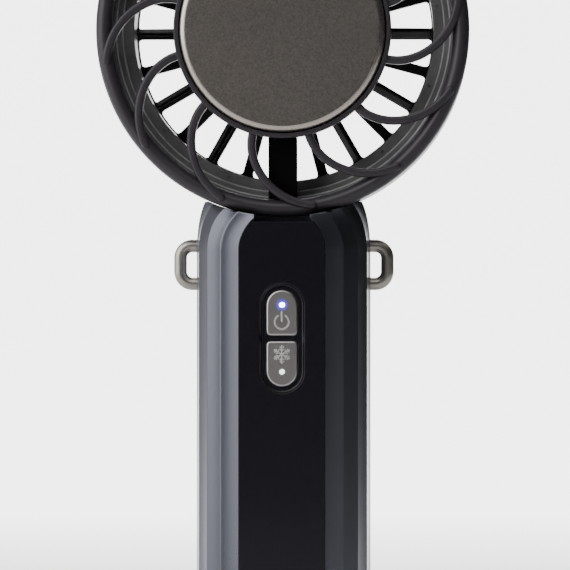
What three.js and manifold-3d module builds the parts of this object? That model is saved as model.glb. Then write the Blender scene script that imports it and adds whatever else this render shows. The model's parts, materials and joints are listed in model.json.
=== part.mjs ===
// A handheld electric fan with a contact cooling plate in the middle of its guard.
// Millimetres. +Z is up along the handle, the front faces -Y and +X is to the right of the front.
// The origin is the centre of the base underside.

import * as THREE from 'three';
import { mergeVertices } from 'three/addons/utils/BufferGeometryUtils.js';
import Module from 'manifold-3d';

const wasm = await Module();
wasm.setup();

// ---------------------------------------------------------------- clearances
const gap = 0.3; // between pieces that seat on each other
const runGap = 0.1; // on the radius, between a shaft and its hole
const fitGap = 0.15; // each side of a piece let into a recess
const over = 1; // how far a cutting shape runs past the face it cuts

// ---------------------------------------------------------------- overall sizes
const headDiameter = 90;
const headDepth = 30;
const handleLength = 115; // base underside to the lowest point of the head
const handleWidth = 42.1;
const handleDepth = 36;

// ---------------------------------------------------------------- handle
const faceWidth = 20.8; // flat front face
const sideWidth = 8; // flat side face
const fluteCount = 4; // hollow flutes round each corner
const fluteHollow = 0.35;
const fluteBias = 0.94; // below 1 widens the flute next to the front face
const shoulderHeight = 14; // over which the top of the handle rounds in
const shoulderDrop = 8.2; // from the head's lowest point to where the rounding starts
const shoulderReach = 0.85; // share of the shoulder height that is built
const faceShoulder = 2.05; // how sharply the front face arches, in half widths
const sideShoulder = 4.3; // how far the sides round in
const handleWall = 2;
const faceWall = 1.8; // shell wall behind the face panel
const panelThickness = 1.4;
const panelDrop = 1.3; // top of the face panel below the head
const crownDepth = 9; // solid top of the handle, below the head
const notchHalfWidth = 6.7;
const notchDepth = 8;
const capHeight = 4;
const capRim = 3; // height of the cap's rim inside the shells
const capRimWall = 1.6;
const capChamfer = 0.8;
const baseScrewInset = 5.2; // from the handle's side
const baseScrewY = 8;
const basePostRadius = 2.6;
const basePostHeight = 9;
const baseScrewSeat = 1.8; // bottom of the counterbore

// ---------------------------------------------------------------- buttons
const buttonWidth = 7.55;
const buttonHeight = 11;
const buttonSpacing = 1.27; // between the two buttons
const buttonDrop = 29.3; // middle of the pair of buttons below the head
const buttonNearCorner = 1.2;
const buttonRim = 1; // recess floor seen round the pair of buttons
const buttonTravel = 0.4;
const frameThickness = 0.6;
const stemRadius = 1.3;
const stemOffset = 2.3; // from the button's middle towards its neighbour
const lightOffset = 1.9; // from the button's middle away from its neighbour
const lightPipeRadius = 0.65;

// ---------------------------------------------------------------- head
const ringWidth = 4; // front ring, in front view
const ringFrontSetback = 0.5; // ring crown behind the ribs' front
const ringHeight = 6.4; // ring crown to the joint with the duct
const ribCount = 12;
const ribWidth = 2;
const ribDepth = 3.2;
const ringRound = 2.6; // how far the ring's face is crowned
const ribFirst = 14; // degrees from +X
const ribSweep = 26; // degrees from root to tip
const ribHeading = 102; // direction of the tip, in degrees from the root's radius
const ribLeave = 0.35; // curve handle at the root, in shares of the root to tip distance
const ribArrive = 0.436; // curve handle at the tip
const plateDiameter = 49.6;
const plateThickness = 2.5;
const plateRound = 1.6;
const plateSkirt = 1.6; // rim behind the plate
const plateRim = 2; // width of that rim
const plateProud = 1.2; // in front of the bezel
const bezelWidth = 1.1;
const bezelProud = 0.6; // in front of the ribs
const podLength = 8.7;
const podWall = 1.6;
const firstStep = 0.8; // ring opening to the first lip of the duct
const secondStep = 1.4; // first lip to the second
const ledgeWidth = 2.5; // second lip to the bore round the impeller
const lipDepth = 2; // each lip along the axis
const ledgeY = -2; // front-facing ledge of the duct, ahead of the impeller
const ductWall = 2;
const rearRound = 2;
const guardRecess = 2.8;
const guardThickness = 2.5;
const guardRim = 2.3;
const windowInner = 24;
const windowCount = 24;
const windowCorner = 1.3;
const guardBarWidth = 2.4;
const guardScrewInset = 2.6; // from the guard's edge
const guardScrewLength = 7;
const strutWidth = 6.9;
const strutDepth = 4.4;

// ---------------------------------------------------------------- impeller and motor
const bladeCount = 12;
const bladeTipGap = 0.4;
const bladeThickness = 1;
const bladeLean = 1.6;
const bladeHollow = 0.5;
const bladeLength = 8; // along the axis
const hubRadius = 22;
const hubWall = 1.5;
const impellerGap = 1.2; // ledge to the front of the impeller
const magnetOuter = 11.2;
const magnetWall = 1.6;
const statorOuter = 9.2;
const shaftRadius = 1.5;
const bearingOuter = 3.1;
const bearingLength = 2;
const bearingInset = 0.6; // from each end of the motor tube
const magnetLength = 6;
const statorLength = 5.4;
const poleCount = 9;
const motorTubeWall = 1.4;

// ---------------------------------------------------------------- tilt hinge
const hingeDrop = 2.8; // axis below the lowest point of the head
const hingeBehind = 0.4; // axis behind the rear face of the head
const knuckleRadius = 2.4;
const knuckleHalf = 4.2;
const washerThickness = 0.8;
const earWidth = 3.2;
const earFoot = 4; // depth of the ear's foot in the shell
const hingePinRadius = 1.2;
const saddleDepth = 8; // where the saddle ends behind the middle plane

// ---------------------------------------------------------------- strap loops and electrics
const loopBar = 3.1;
const loopHeight = 12.3;
const loopReach = 5.6;
const loopCorner = 2.9;
const loopDrop = 11.6; // middle of the loops below the head
const anchorWidth = 2; // plate that holds a loop inside the shell
const cellRadius = 10.6;
const cellLength = 70;
const cellBottom = 22;
const cellTerminal = 3;
const terminalHeight = 0.8;
const cellEdge = 0.6;
const cellY = 4;
const cradleWall = 0.8;
const cradleShare = 0.7; // of the cell's length
const boardThickness = 1.2;
const boardFront = -11.4;
const boardWidth = 18;
const boardBelow = 22; // from the middle of the buttons
const boardAbove = 19.5;
const switchHalf = 2.2;
const switchHeight = 1.9;
const socketWidth = 8.94;
const socketHeight = 3.26;
const socketLength = 7.3;
const socketZ = 13;
const socketWall = 0.3;
const socketSetback = 0.4;
const chargeBoardHalf = 7;
const chargeBoardFront = 1.5;

// ---------------------------------------------------------------- cooler and screws
const peltierSide = 30;
const peltierThickness = 3.3;
const padThickness = 0.5;
const sinkBase = 1.4;
const finCount = 9;
const finThickness = 1;
const screwHead = 1.7;
const screwShank = 0.8;
const screwPilot = 0.9;
const screwClear = 1.2;
const screwBoss = 2.1;
const driverHalf = 0.25;
const driverDepth = 0.4;

// ---------------------------------------------------------------- facets
const fineSides = 48; // large rounds
const midSides = 22; // rounds of about 10 mm
const smallSides = 10; // screws, posts and pins

// ---------------------------------------------------------------- worked out from the above
const headRadius = headDiameter / 2;
const headZ = handleLength + headRadius;
const shoulderStart = handleLength - shoulderDrop;
const panelTop = handleLength - panelDrop;
const cavityTop = handleLength - crownDepth;
const buttonGroupZ = handleLength - buttonDrop;
const loopZ = handleLength - loopDrop;
const baseScrewX = handleWidth / 2 - baseScrewInset;
const headFront = -headDepth / 2;
const headRear = headDepth / 2;
const hingeY = headRear + hingeBehind;
const hingeZ = handleLength - hingeDrop;
const handleFront = -handleDepth / 2;
const handleRear = handleDepth / 2;
const cavityFront = handleFront + panelThickness + gap + faceWall;
const cavityRear = handleRear - handleWall;
const ringInner = headRadius - ringWidth;
const ringCrown = headFront + ringFrontSetback;
const ductFront = ringCrown + ringHeight + gap;
const plateRadius = plateDiameter / 2;
const bezelInner = plateRadius + gap;
const bezelOuter = bezelInner + bezelWidth;
const bezelFront = headFront - bezelProud;
const bezelRear = headFront + ribDepth;
const podFront = bezelRear + gap;
const podRear = podFront + podLength;
const podRadius = bezelOuter - gap;
const firstLip = ringInner - firstStep;
const secondLip = firstLip - secondStep;
const ductBore = secondLip - ledgeWidth;
const windowOuter = ductBore - gap;
const guardRadius = headRadius - guardRim - gap;
const guardScrewRadius = guardRadius - guardScrewInset;
const guardFront = headRear - guardThickness;
const earInner = knuckleHalf + gap + washerThickness + gap;
const towards = (a, b, t) => a + (b - a) * t;
const degrees = THREE.MathUtils.degToRad;

// ---------------------------------------------------------------- finishes
function finish(color, roughness, metalness) {
  return new THREE.MeshStandardMaterial({ color, roughness, metalness });
}
const finishes = {
  anodised: finish(0x5d5f68, 0.28, 0.85),
  facePanel: finish(0x15141a, 0.22, 0.1),
  guardPlastic: finish(0x2a282c, 0.4, 0),
  ductPlastic: finish(0x5a5a5c, 0.5, 0),
  blackPlastic: finish(0x121214, 0.55, 0),
  blastedMetal: finish(0x57524d, 0.45, 0.9),
  buttonMetal: finish(0x6a6561, 0.35, 0.9),
  nickel: finish(0xa7a5a1, 0.25, 1),
  steel: finish(0x9a9a9c, 0.3, 1),
  aluminium: finish(0xb4b6b8, 0.4, 0.9),
  ceramic: finish(0xe9e7e2, 0.6, 0),
  softPad: finish(0x8d9aa6, 0.8, 0),
  magnet: finish(0x3b3b3e, 0.5, 0.4),
  copper: finish(0xa8622f, 0.4, 0.8),
  circuit: finish(0x1d4a30, 0.5, 0),
  cellWrap: finish(0x2f5f86, 0.5, 0),
  clearPipe: finish(0xdfe6ff, 0.1, 0),
};

// ---------------------------------------------------------------- solids from geometries
// Merges the shared corners, drops collapsed triangles and turns the faces out.
function solid(geometry) {
  const bare = geometry.clone();
  bare.deleteAttribute('normal');
  bare.deleteAttribute('uv');
  const merged = mergeVertices(bare, 1e-4);
  const place = merged.attributes.position;
  const corner = [new THREE.Vector3(), new THREE.Vector3(), new THREE.Vector3()];
  const triangles = [];
  let volume = 0;
  for (let i = 0; i < merged.index.count; i += 3) {
    const ids = [0, 1, 2].map((k) => merged.index.getX(i + k));
    if (new Set(ids).size < 3) continue;
    ids.forEach((id, k) => corner[k].fromBufferAttribute(place, id));
    volume += corner[0].dot(corner[1].clone().cross(corner[2]));
    triangles.push(ids);
  }
  const turned = volume < 0 ? triangles.map(([a, b, c]) => [a, c, b]) : triangles;
  return new wasm.Manifold(new wasm.Mesh({
    numProp: 3,
    vertProperties: new Float32Array(place.array),
    triVerts: new Uint32Array(turned.flat()),
  }));
}

function join(...solids) {
  return solids.reduce((whole, next) => whole.add(next));
}

function cut(body, ...tools) {
  return tools.reduce((left, tool) => left.subtract(tool), body);
}

function piece(name, body, material, parent) {
  const out = body.getMesh();
  const geometry = new THREE.BufferGeometry();
  geometry.setAttribute('position', new THREE.BufferAttribute(new Float32Array(out.vertProperties), 3));
  geometry.setIndex(new THREE.BufferAttribute(new Uint32Array(out.triVerts), 1));
  geometry.computeVertexNormals();
  const mesh = new THREE.Mesh(geometry, material.clone());
  mesh.name = name;
  parent.add(mesh);
  return mesh;
}

// ---------------------------------------------------------------- basic shapes
function box(x0, x1, y0, y1, z0, z1) {
  const shape = new THREE.BoxGeometry(x1 - x0, y1 - y0, z1 - z0);
  shape.translate((x0 + x1) / 2, (y0 + y1) / 2, (z0 + z1) / 2);
  return solid(shape);
}

function rodZ(radius, z0, z1, x, y, sides = smallSides) {
  const shape = new THREE.CylinderGeometry(radius, radius, z1 - z0, sides);
  shape.rotateX(Math.PI / 2);
  shape.translate(x, y, (z0 + z1) / 2);
  return solid(shape);
}

function rodY(radius, y0, y1, x = 0, z = 0, sides = smallSides) {
  const shape = new THREE.CylinderGeometry(radius, radius, y1 - y0, sides);
  shape.translate(x, (y0 + y1) / 2, z);
  return solid(shape);
}

function rodX(radius, x0, x1, y, z, sides = 16) {
  const shape = new THREE.CylinderGeometry(radius, radius, x1 - x0, sides);
  shape.rotateZ(Math.PI / 2);
  shape.translate((x0 + x1) / 2, y, z);
  return solid(shape);
}

function tubeY(inner, outer, y0, y1, sides = midSides) {
  return cut(rodY(outer, y0, y1, 0, 0, sides), rodY(inner, y0 - over, y1 + over, 0, 0, sides));
}

// A profile of [radius, y] corners turned about Y. It closes on itself or starts and ends on the axis.
function turnedY(profile, sides = fineSides) {
  const points = profile.map(([radius, y]) => new THREE.Vector2(radius, y));
  if (profile[0][0] > 0) points.push(points[0].clone());
  return solid(new THREE.LatheGeometry(points, sides));
}

// An outline drawn in X and Z, as seen from the front, made solid from y0 to y1.
function slabY(shape, y0, y1, curveSegments = 6) {
  const slab = new THREE.ExtrudeGeometry(shape, { depth: y1 - y0, bevelEnabled: false, curveSegments });
  slab.rotateX(Math.PI / 2);
  slab.translate(0, y1, 0);
  return solid(slab);
}

// A slot outline with round ends, long either way, centred at a height.
function slot(width, height, centreZ) {
  const radius = Math.min(width, height) / 2;
  const points = [];
  const steps = 5;
  for (let i = 0; i < 4 * steps; i += 1) {
    const angle = (i + 0.5) * (Math.PI / (2 * steps));
    const x = Math.sign(Math.cos(angle)) * (width / 2 - radius) + radius * Math.cos(angle);
    const z = Math.sign(Math.sin(angle)) * (height / 2 - radius) + radius * Math.sin(angle);
    points.push(new THREE.Vector2(x, centreZ + z));
  }
  return new THREE.Shape(points);
}

// Joins rings of equal count, lowest first, each ring counter-clockwise seen from above.
function loft(rings) {
  const count = rings[0].length;
  const positions = rings.flat().flatMap((point) => point.toArray());
  const index = [];
  for (let level = 0; level + 1 < rings.length; level += 1) {
    for (let i = 0; i < count; i += 1) {
      const a = level * count + i;
      const b = level * count + ((i + 1) % count);
      index.push(a, b, b + count, a, b + count, a + count);
    }
  }
  const flat = rings[0].map((point) => new THREE.Vector2(point.x, point.y));
  const top = (rings.length - 1) * count;
  const topFlat = rings[rings.length - 1].map((point) => new THREE.Vector2(point.x, point.y));
  THREE.ShapeUtils.triangulateShape(flat, []).forEach(([a, b, c]) => index.push(a, c, b));
  THREE.ShapeUtils.triangulateShape(topFlat, []).forEach((ids) => index.push(...ids.map((id) => top + id)));
  const geometry = new THREE.BufferGeometry();
  geometry.setAttribute('position', new THREE.Float32BufferAttribute(positions, 3));
  geometry.setIndex(index);
  return solid(geometry);
}

// ---------------------------------------------------------------- handle section
// How far a level has climbed through the shoulder, as 0 at its foot and 1 where it would close.
function climbAt(z) {
  const share = Math.max(0, (z - shoulderStart) / shoulderHeight);
  return 1 - Math.sqrt(Math.max(0, 1 - share * share));
}

function faceHalfAt(z) {
  return (faceWidth / 2) * (1 - faceShoulder * climbAt(z));
}

// Corner points from the front face round to the side face, hollowed between the arrises.
function cornerPoints(z, inset, hollow, steps) {
  const points = [];
  const spanX = (handleWidth - faceWidth) / 2;
  const spanY = (handleDepth - sideWidth) / 2;
  const arris = (k) => (Math.PI / 2) * Math.pow(k / fluteCount, fluteBias);
  const at = (turn) => new THREE.Vector2(
    faceWidth / 2 + spanX * Math.sin(turn),
    sideWidth / 2 + spanY * Math.cos(turn),
  );
  for (let k = 0; k < fluteCount; k += 1) {
    const from = at(arris(k));
    const to = at(arris(k + 1));
    const inward = new THREE.Vector2(from.y - to.y, to.x - from.x).normalize().multiplyScalar(-1);
    for (let s = 0; s < steps; s += 1) {
      const t = s / steps;
      const point = from.clone().lerp(to, t).addScaledVector(inward, hollow * 4 * t * (1 - t));
      points.push({ point, share: (k + t) / fluteCount });
    }
  }
  points.push({ point: at(Math.PI / 2), share: 1 });
  return points.map(({ point, share }) => {
    const drawIn = towards(faceShoulder * faceWidth / 2, sideShoulder, share) * climbAt(z);
    return new THREE.Vector2(Math.max(point.x - drawIn - inset, 0.02), point.y - inset);
  });
}

// The whole outline at one level, counter-clockwise seen from above.
function handleRing(z, inset = 0, hollow = fluteHollow, steps = 3) {
  const corner = cornerPoints(z, inset, hollow, steps);
  const back = [...corner].reverse();
  const place = (list, signX, signY) => list.map((p) => new THREE.Vector3(signX * p.x, signY * p.y, z));
  return [...place(corner, 1, -1), ...place(back, 1, 1), ...place(corner, -1, 1), ...place(back, -1, -1)];
}

function handleLevels(bottom) {
  const levels = [bottom, shoulderStart];
  const steps = 6;
  for (let i = 1; i <= steps; i += 1) {
    levels.push(shoulderStart + shoulderHeight * shoulderReach * (i / steps));
  }
  return levels;
}

// Everything above the saddle on which the head rests.
function saddleSpace() {
  return rodY(headRadius + gap, handleFront - over, handleRear + over, 0, headZ, 80);
}

function handleBody(bottom) {
  return cut(loft(handleLevels(bottom).map((z) => handleRing(z))), saddleSpace());
}

function handleCavity() {
  const hollow = loft([-over, cavityTop].map((z) => handleRing(z, handleWall, 0, 1)));
  const limits = box(-handleWidth, handleWidth, cavityFront, cavityRear, -2 * over, cavityTop + over);
  return hollow.intersect(limits);
}

// ---------------------------------------------------------------- button outlines
const buttonCentres = {
  power: buttonGroupZ + (buttonHeight + buttonSpacing) / 2,
  cooling: buttonGroupZ - (buttonHeight + buttonSpacing) / 2,
};
const buttonSides = { power: 1, cooling: -1 };
const recessWidth = buttonWidth + 2 * buttonRim;
const recessHeight = 2 * buttonHeight + buttonSpacing + 2 * buttonRim;

// A button outline with a round far end and two small near corners, grown by a margin.
function buttonOutline(which, grow = 0) {
  const side = buttonSides[which];
  const centre = buttonCentres[which];
  const half = buttonWidth / 2 + grow;
  const near = -buttonHeight / 2 - grow;
  const shoulder = buttonHeight / 2 - buttonWidth / 2;
  const round = buttonNearCorner + grow;
  const points = [];
  const arc = (cx, cy, radius, from, to, steps) => {
    for (let i = 0; i <= steps; i += 1) {
      const angle = degrees(towards(from, to, i / steps));
      const x = cx + radius * Math.cos(angle);
      points.push(new THREE.Vector2(x, centre + side * (cy + radius * Math.sin(angle))));
    }
  };
  arc(0, shoulder, half, 0, 180, 10);
  arc(-half + round, near + round, round, 180, 270, 2);
  arc(half - round, near + round, round, 270, 360, 2);
  return new THREE.Shape(points);
}

// Stem and light-pipe places of one button.
function buttonFeatures(which) {
  const side = buttonSides[which];
  return {
    stemZ: buttonCentres[which] - side * stemOffset,
    lightZ: buttonCentres[which] + side * lightOffset,
  };
}

const panelBack = handleFront + panelThickness;
const shellFace = panelBack + gap; // front of the shell under the face panel
const frameFront = panelBack - frameThickness;
const buttonBack = frameFront + 0.25; // the key runs inside the frame
const switchFront = cavityFront + 1.4;
const buttonNames = ['power', 'cooling'];

function recessOutline(grow) {
  return slot(recessWidth + 2 * grow, recessHeight + 2 * grow, buttonGroupZ);
}

// ---------------------------------------------------------------- handle pieces
const root = new THREE.Group();
const head = new THREE.Group();
head.position.z = headZ;
root.add(head);

function panelRing(z, grow, front, back) {
  const half = faceHalfAt(z) + grow;
  const corners = [[-half, back], [-half, front], [half, front], [half, back]];
  return corners.map(([x, y]) => new THREE.Vector3(x, y, z));
}

function panelSlab(bottom, top, grow, front, back) {
  const levels = [bottom];
  for (let z = shoulderStart; z < top - 0.1; z += (top - shoulderStart) / 5) levels.push(z);
  levels.push(top);
  return loft(levels.map((z) => panelRing(z, grow, front, back)));
}

function loopPocket() {
  const half = loopHeight / 2 + gap;
  const outer = handleWidth / 2 - handleWall;
  const inner = outer - anchorWidth - 2 * gap - 0.2;
  const pockets = [-1, 1].map((side) => {
    const feet = [-1, 1].map((end) => rodX(
      loopBar / 2 + gap,
      side > 0 ? inner : -handleWidth / 2 - over,
      side > 0 ? handleWidth / 2 + over : -inner,
      0,
      loopZ + end * (loopHeight - loopBar) / 2,
      16,
    ));
    const plate = box(
      Math.min(side * inner, side * outer),
      Math.max(side * inner, side * outer),
      -loopBar / 2 - 2 * gap,
      loopBar / 2 + 2 * gap,
      loopZ - half,
      loopZ + half,
    );
    return join(plate, ...feet);
  });
  return join(...pockets);
}

const shellBottom = capHeight + gap;

function frontShell() {
  const half = box(-handleWidth, handleWidth, -handleDepth, -fitGap, 0, 2 * handleLength);
  const openings = buttonNames.flatMap((which) => {
    const { stemZ, lightZ } = buttonFeatures(which);
    return [
      rodY(stemRadius + gap, shellFace - over, cavityFront + over, 0, stemZ),
      rodY(lightPipeRadius + gap, shellFace - over, cavityFront + over, 0, lightZ),
    ];
  });
  const body = cut(
    handleBody(shellBottom).intersect(half),
    handleCavity(),
    panelSlab(-over, handleLength + over, fitGap, handleFront - over, shellFace),
    box(-notchHalfWidth, notchHalfWidth, handleFront - over, handleFront + notchDepth, panelTop, headZ),
    loopPocket(),
    ...openings,
  );
  const posts = boardPosts().map(([x, z]) => cut(
    rodY(screwBoss, cavityFront - faceWall / 3, boardFront - gap, x, z),
    rodY(screwPilot, cavityFront, boardFront, x, z),
  ));
  return join(body, ...posts);
}

// The two opposite corners where the control board is screwed down.
function boardPosts() {
  const x = boardWidth / 2 - 2.6;
  return [[x, buttonGroupZ + boardAbove - 2.5], [-x, buttonGroupZ - boardBelow + 5]];
}

function rearShell() {
  const half = box(-handleWidth, handleWidth, fitGap, handleDepth, 0, 2 * handleLength);
  const ledge = box(-handleWidth, handleWidth, saddleDepth, handleDepth, hingeZ - gap, headZ);
  const knuckleSlot = box(
    -earInner, earInner, hingeY - knuckleRadius - gap, handleDepth, hingeZ - knuckleRadius - gap, headZ,
  );
  const socket = slabY(
    slot(socketWidth + 2 * gap, socketHeight + 2 * gap, socketZ), cavityRear - over, handleRear + over,
  );
  let body = cut(
    handleBody(shellBottom).intersect(half), handleCavity(), ledge, knuckleSlot, loopPocket(), socket,
  );
  [-1, 1].forEach((side) => {
    const from = side > 0 ? earInner : -earInner - earWidth;
    const ear = rodX(knuckleRadius, from, from + earWidth, hingeY, hingeZ);
    const foot = box(
      from, from + earWidth, hingeY - knuckleRadius, hingeY + knuckleRadius, hingeZ - earFoot, hingeZ,
    );
    const x = side * baseScrewX;
    const post = rodZ(basePostRadius, shellBottom, shellBottom + basePostHeight, x, baseScrewY);
    const pilot = rodZ(screwPilot, 0, shellBottom + basePostHeight - 1.5, x, baseScrewY);
    body = cut(join(body, ear, foot, post), pilot);
  });
  return cut(body, rodX(hingePinRadius + runGap, -handleWidth, handleWidth, hingeY, hingeZ));
}

function facePanel() {
  const slab = panelSlab(shellBottom, panelTop, -fitGap, handleFront, panelBack);
  return cut(slab, slabY(recessOutline(0), handleFront - over, panelBack + over));
}

function buttonFrame() {
  const plate = slabY(recessOutline(-fitGap), frameFront, panelBack);
  const holes = buttonNames.map((which) => slabY(
    buttonOutline(which, 0.25), frameFront - over, panelBack + over,
  ));
  return cut(plate, ...holes);
}

function button(which) {
  const { stemZ, lightZ } = buttonFeatures(which);
  const stemEnd = switchFront - gap - 0.2;
  const key = slabY(buttonOutline(which), handleFront, buttonBack);
  const stem = rodY(stemRadius, buttonBack - 0.4, stemEnd, 0, stemZ);
  return cut(join(key, stem), rodY(lightPipeRadius + runGap, handleFront - over, stemEnd + over, 0, lightZ));
}

function lightPipe(which) {
  const { lightZ } = buttonFeatures(which);
  return rodY(lightPipeRadius, handleFront, cavityFront + 0.9, 0, lightZ);
}

// A bail of round bar with two straight feet, closed inside the shell by its anchor plate.
function strapLoop(side) {
  const radius = loopBar / 2;
  const plateOuter = handleWidth / 2 - handleWall - gap;
  const plateInner = plateOuter - anchorWidth;
  const footX = plateOuter - anchorWidth / 2;
  const outX = handleWidth / 2 + loopReach - radius;
  const halfZ = loopHeight / 2 - radius;
  const points = [new THREE.Vector3(footX, 0, -halfZ), new THREE.Vector3(handleWidth / 2, 0, -halfZ)];
  const steps = 5;
  [[-1, -90], [1, 0]].forEach(([end, from]) => {
    for (let i = 0; i <= steps; i += 1) {
      const angle = degrees(from + 90 * (i / steps));
      points.push(new THREE.Vector3(
        outX - loopCorner + loopCorner * Math.cos(angle),
        0,
        end * (halfZ - loopCorner) + loopCorner * Math.sin(angle),
      ));
    }
  });
  points.push(new THREE.Vector3(handleWidth / 2, 0, halfZ), new THREE.Vector3(footX, 0, halfZ));
  const placed = points.map((p) => new THREE.Vector3(side * p.x, 0, p.z + loopZ));
  const route = new THREE.CatmullRomCurve3(placed, false, 'centripetal');
  const section = new THREE.Shape(new THREE.Path().absarc(0, 0, radius, 0, 2 * Math.PI, false).getPoints(5));
  const bar = new THREE.ExtrudeGeometry(section, { steps: 24, extrudePath: route, bevelEnabled: false });
  const plate = box(
    Math.min(side * plateInner, side * plateOuter),
    Math.max(side * plateInner, side * plateOuter),
    -radius - gap,
    radius + gap,
    loopZ - loopHeight / 2,
    loopZ + loopHeight / 2,
  );
  return join(solid(bar), plate);
}

function baseCap() {
  const body = loft([handleRing(0, capChamfer), handleRing(capChamfer), handleRing(capHeight)]);
  const rimLayer = (inset, bottom, top) => {
    const block = loft([bottom, top].map((z) => handleRing(z, handleWall + inset, 0, 1)));
    return block.intersect(box(
      -handleWidth, handleWidth, cavityFront + inset, cavityRear - inset, 0, handleLength,
    ));
  };
  const rim = cut(
    rimLayer(gap, capHeight - 0.5, capHeight + capRim),
    rimLayer(gap + capRimWall, capHeight - 0.4, capHeight + capRim + over),
  );
  const rooms = [-1, 1].flatMap((side) => [
    rodZ(basePostRadius + gap, capHeight, capHeight + basePostHeight, side * baseScrewX, baseScrewY),
    rodZ(screwBoss, -over, baseScrewSeat, side * baseScrewX, baseScrewY),
    rodZ(screwClear, 0, capHeight + over, side * baseScrewX, baseScrewY),
  ]);
  return cut(join(body, rim), ...rooms);
}

// A pan-head screw along Z, head down.
function screwUp(headBottom, headHeight, length, x, y) {
  const reach = screwHead * 0.65;
  const headPart = rodZ(screwHead, headBottom, headBottom + headHeight, x, y);
  const shank = rodZ(screwShank, headBottom + headHeight / 2, headBottom + headHeight + length, x, y);
  const driver = [[driverHalf, reach], [reach, driverHalf]].map(([across, along]) => box(
    x - across, x + across, y - along, y + along, headBottom - over, headBottom + driverDepth,
  ));
  return cut(join(headPart, shank), ...driver);
}

// A pan-head screw along Y. facing is +1 when the head looks to the rear and -1 to the front.
function screwAlongY(headSize, headFace, headHeight, length, facing, x, z) {
  const ordered = (a, b) => [Math.min(a, b), Math.max(a, b)];
  const reach = headSize * 0.65;
  const [h0, h1] = ordered(headFace, headFace - facing * headHeight);
  const [s0, s1] = ordered((h0 + h1) / 2, headFace - facing * (headHeight + length));
  const [d0, d1] = ordered(headFace + facing * over, headFace - facing * driverDepth);
  const body = join(rodY(headSize, h0, h1, x, z), rodY(screwShank, s0, s1, x, z));
  const driver = [[driverHalf, reach], [reach, driverHalf]].map(([across, along]) => box(
    x - across, x + across, d0, d1, z - along, z + along,
  ));
  return cut(body, ...driver);
}

// A sleeve round the back of the cell, open towards the front.
function batteryCradle() {
  const outer = cellRadius + gap + cradleWall;
  const tall = cellLength * cradleShare;
  const z0 = cellBottom + (cellLength - tall) / 2;
  return cut(
    rodZ(outer, z0, z0 + tall, 0, cellY, midSides),
    rodZ(cellRadius + gap, z0 - over, z0 + tall + over, 0, cellY, midSides),
    box(-outer, outer, cellY - outer - over, cellY - cellRadius / 3, z0 - over, z0 + tall + over),
  );
}

function batteryCell() {
  const top = cellBottom + cellLength;
  return turnedZ([
    [0, cellBottom], [cellRadius - cellEdge, cellBottom], [cellRadius, cellBottom + cellEdge],
    [cellRadius, top - cellEdge], [cellRadius - cellEdge, top],
    [cellTerminal, top], [cellTerminal, top + terminalHeight], [0, top + terminalHeight],
  ], 0, cellY, midSides);
}

function turnedZ(profile, x, y, sides) {
  const shape = new THREE.LatheGeometry(profile.map(([radius, z]) => new THREE.Vector2(radius, z)), sides);
  shape.rotateX(Math.PI / 2);
  shape.translate(x, y, 0);
  return solid(shape);
}

function controlBoard() {
  const back = boardFront + boardThickness;
  const plate = box(
    -boardWidth / 2, boardWidth / 2, boardFront, back, buttonGroupZ - boardBelow, buttonGroupZ + boardAbove,
  );
  return cut(plate, ...boardPosts().map(([x, z]) => rodY(screwClear, boardFront - over, back + over, x, z)));
}

function tactSwitch(which) {
  const { stemZ } = buttonFeatures(which);
  const back = boardFront - gap;
  const cap = switchFront + 0.5;
  const body = box(-switchHalf, switchHalf, cap, back, stemZ - switchHeight, stemZ + switchHeight);
  return join(body, rodY(1, switchFront, cap + 0.2, 0, stemZ));
}

function indicatorLight(which) {
  const { lightZ } = buttonFeatures(which);
  return box(-0.8, 0.8, boardFront - gap - 0.7, boardFront - gap, lightZ - 0.45, lightZ + 0.45);
}

function usbSocket() {
  const rear = handleRear - socketSetback;
  const front = rear - socketLength;
  const room = slot(socketWidth - 2 * socketWall, socketHeight - 2 * socketWall, socketZ);
  const shell = cut(
    slabY(slot(socketWidth, socketHeight, socketZ), front, rear),
    slabY(room, front + 0.8, rear + over),
  );
  const tongue = box(-3.3, 3.3, front + 0.4, rear - 0.7, socketZ - 0.35, socketZ + 0.35);
  return join(shell, tongue);
}

function chargeBoard() {
  const top = socketZ - socketHeight / 2 - gap;
  const back = cavityRear - 2 * gap;
  return box(-chargeBoardHalf, chargeBoardHalf, chargeBoardFront, back, top - boardThickness, top);
}

// ---------------------------------------------------------------- head pieces, about the head's own centre
function polar(radius, angle) {
  return new THREE.Vector2(radius * Math.cos(degrees(angle)), radius * Math.sin(degrees(angle)));
}

// One swirl rib: a strip of even width along a cubic curve from the bezel to the ring.
function ribOutline(angle) {
  const rootAt = polar(bezelOuter - bezelWidth / 2, 0);
  const tip = polar(headRadius - ringWidth / 2, ribSweep);
  const reach = rootAt.distanceTo(tip);
  const leave = rootAt.clone().add(polar(reach * ribLeave, 0));
  const arrive = tip.clone().sub(polar(reach * ribArrive, ribHeading));
  const curve = new THREE.CubicBezierCurve(rootAt, leave, arrive, tip);
  const steps = 9;
  const left = [];
  const right = [];
  for (let i = 0; i <= steps; i += 1) {
    const point = curve.getPoint(i / steps);
    const along = curve.getTangent(i / steps);
    const aside = new THREE.Vector2(-along.y, along.x).multiplyScalar(ribWidth / 2);
    left.push(point.clone().add(aside));
    right.push(point.clone().sub(aside));
  }
  const middle = new THREE.Vector2();
  const end = curve.getTangent(1).multiplyScalar(ribWidth / 2);
  const nose = [-45, 0, 45].map((turn) => tip.clone().add(end.clone().rotateAround(middle, degrees(turn))));
  const outline = [...right, ...nose, ...left.reverse()];
  return new THREE.Shape(outline.map((p) => p.rotateAround(middle, degrees(angle))));
}

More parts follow.
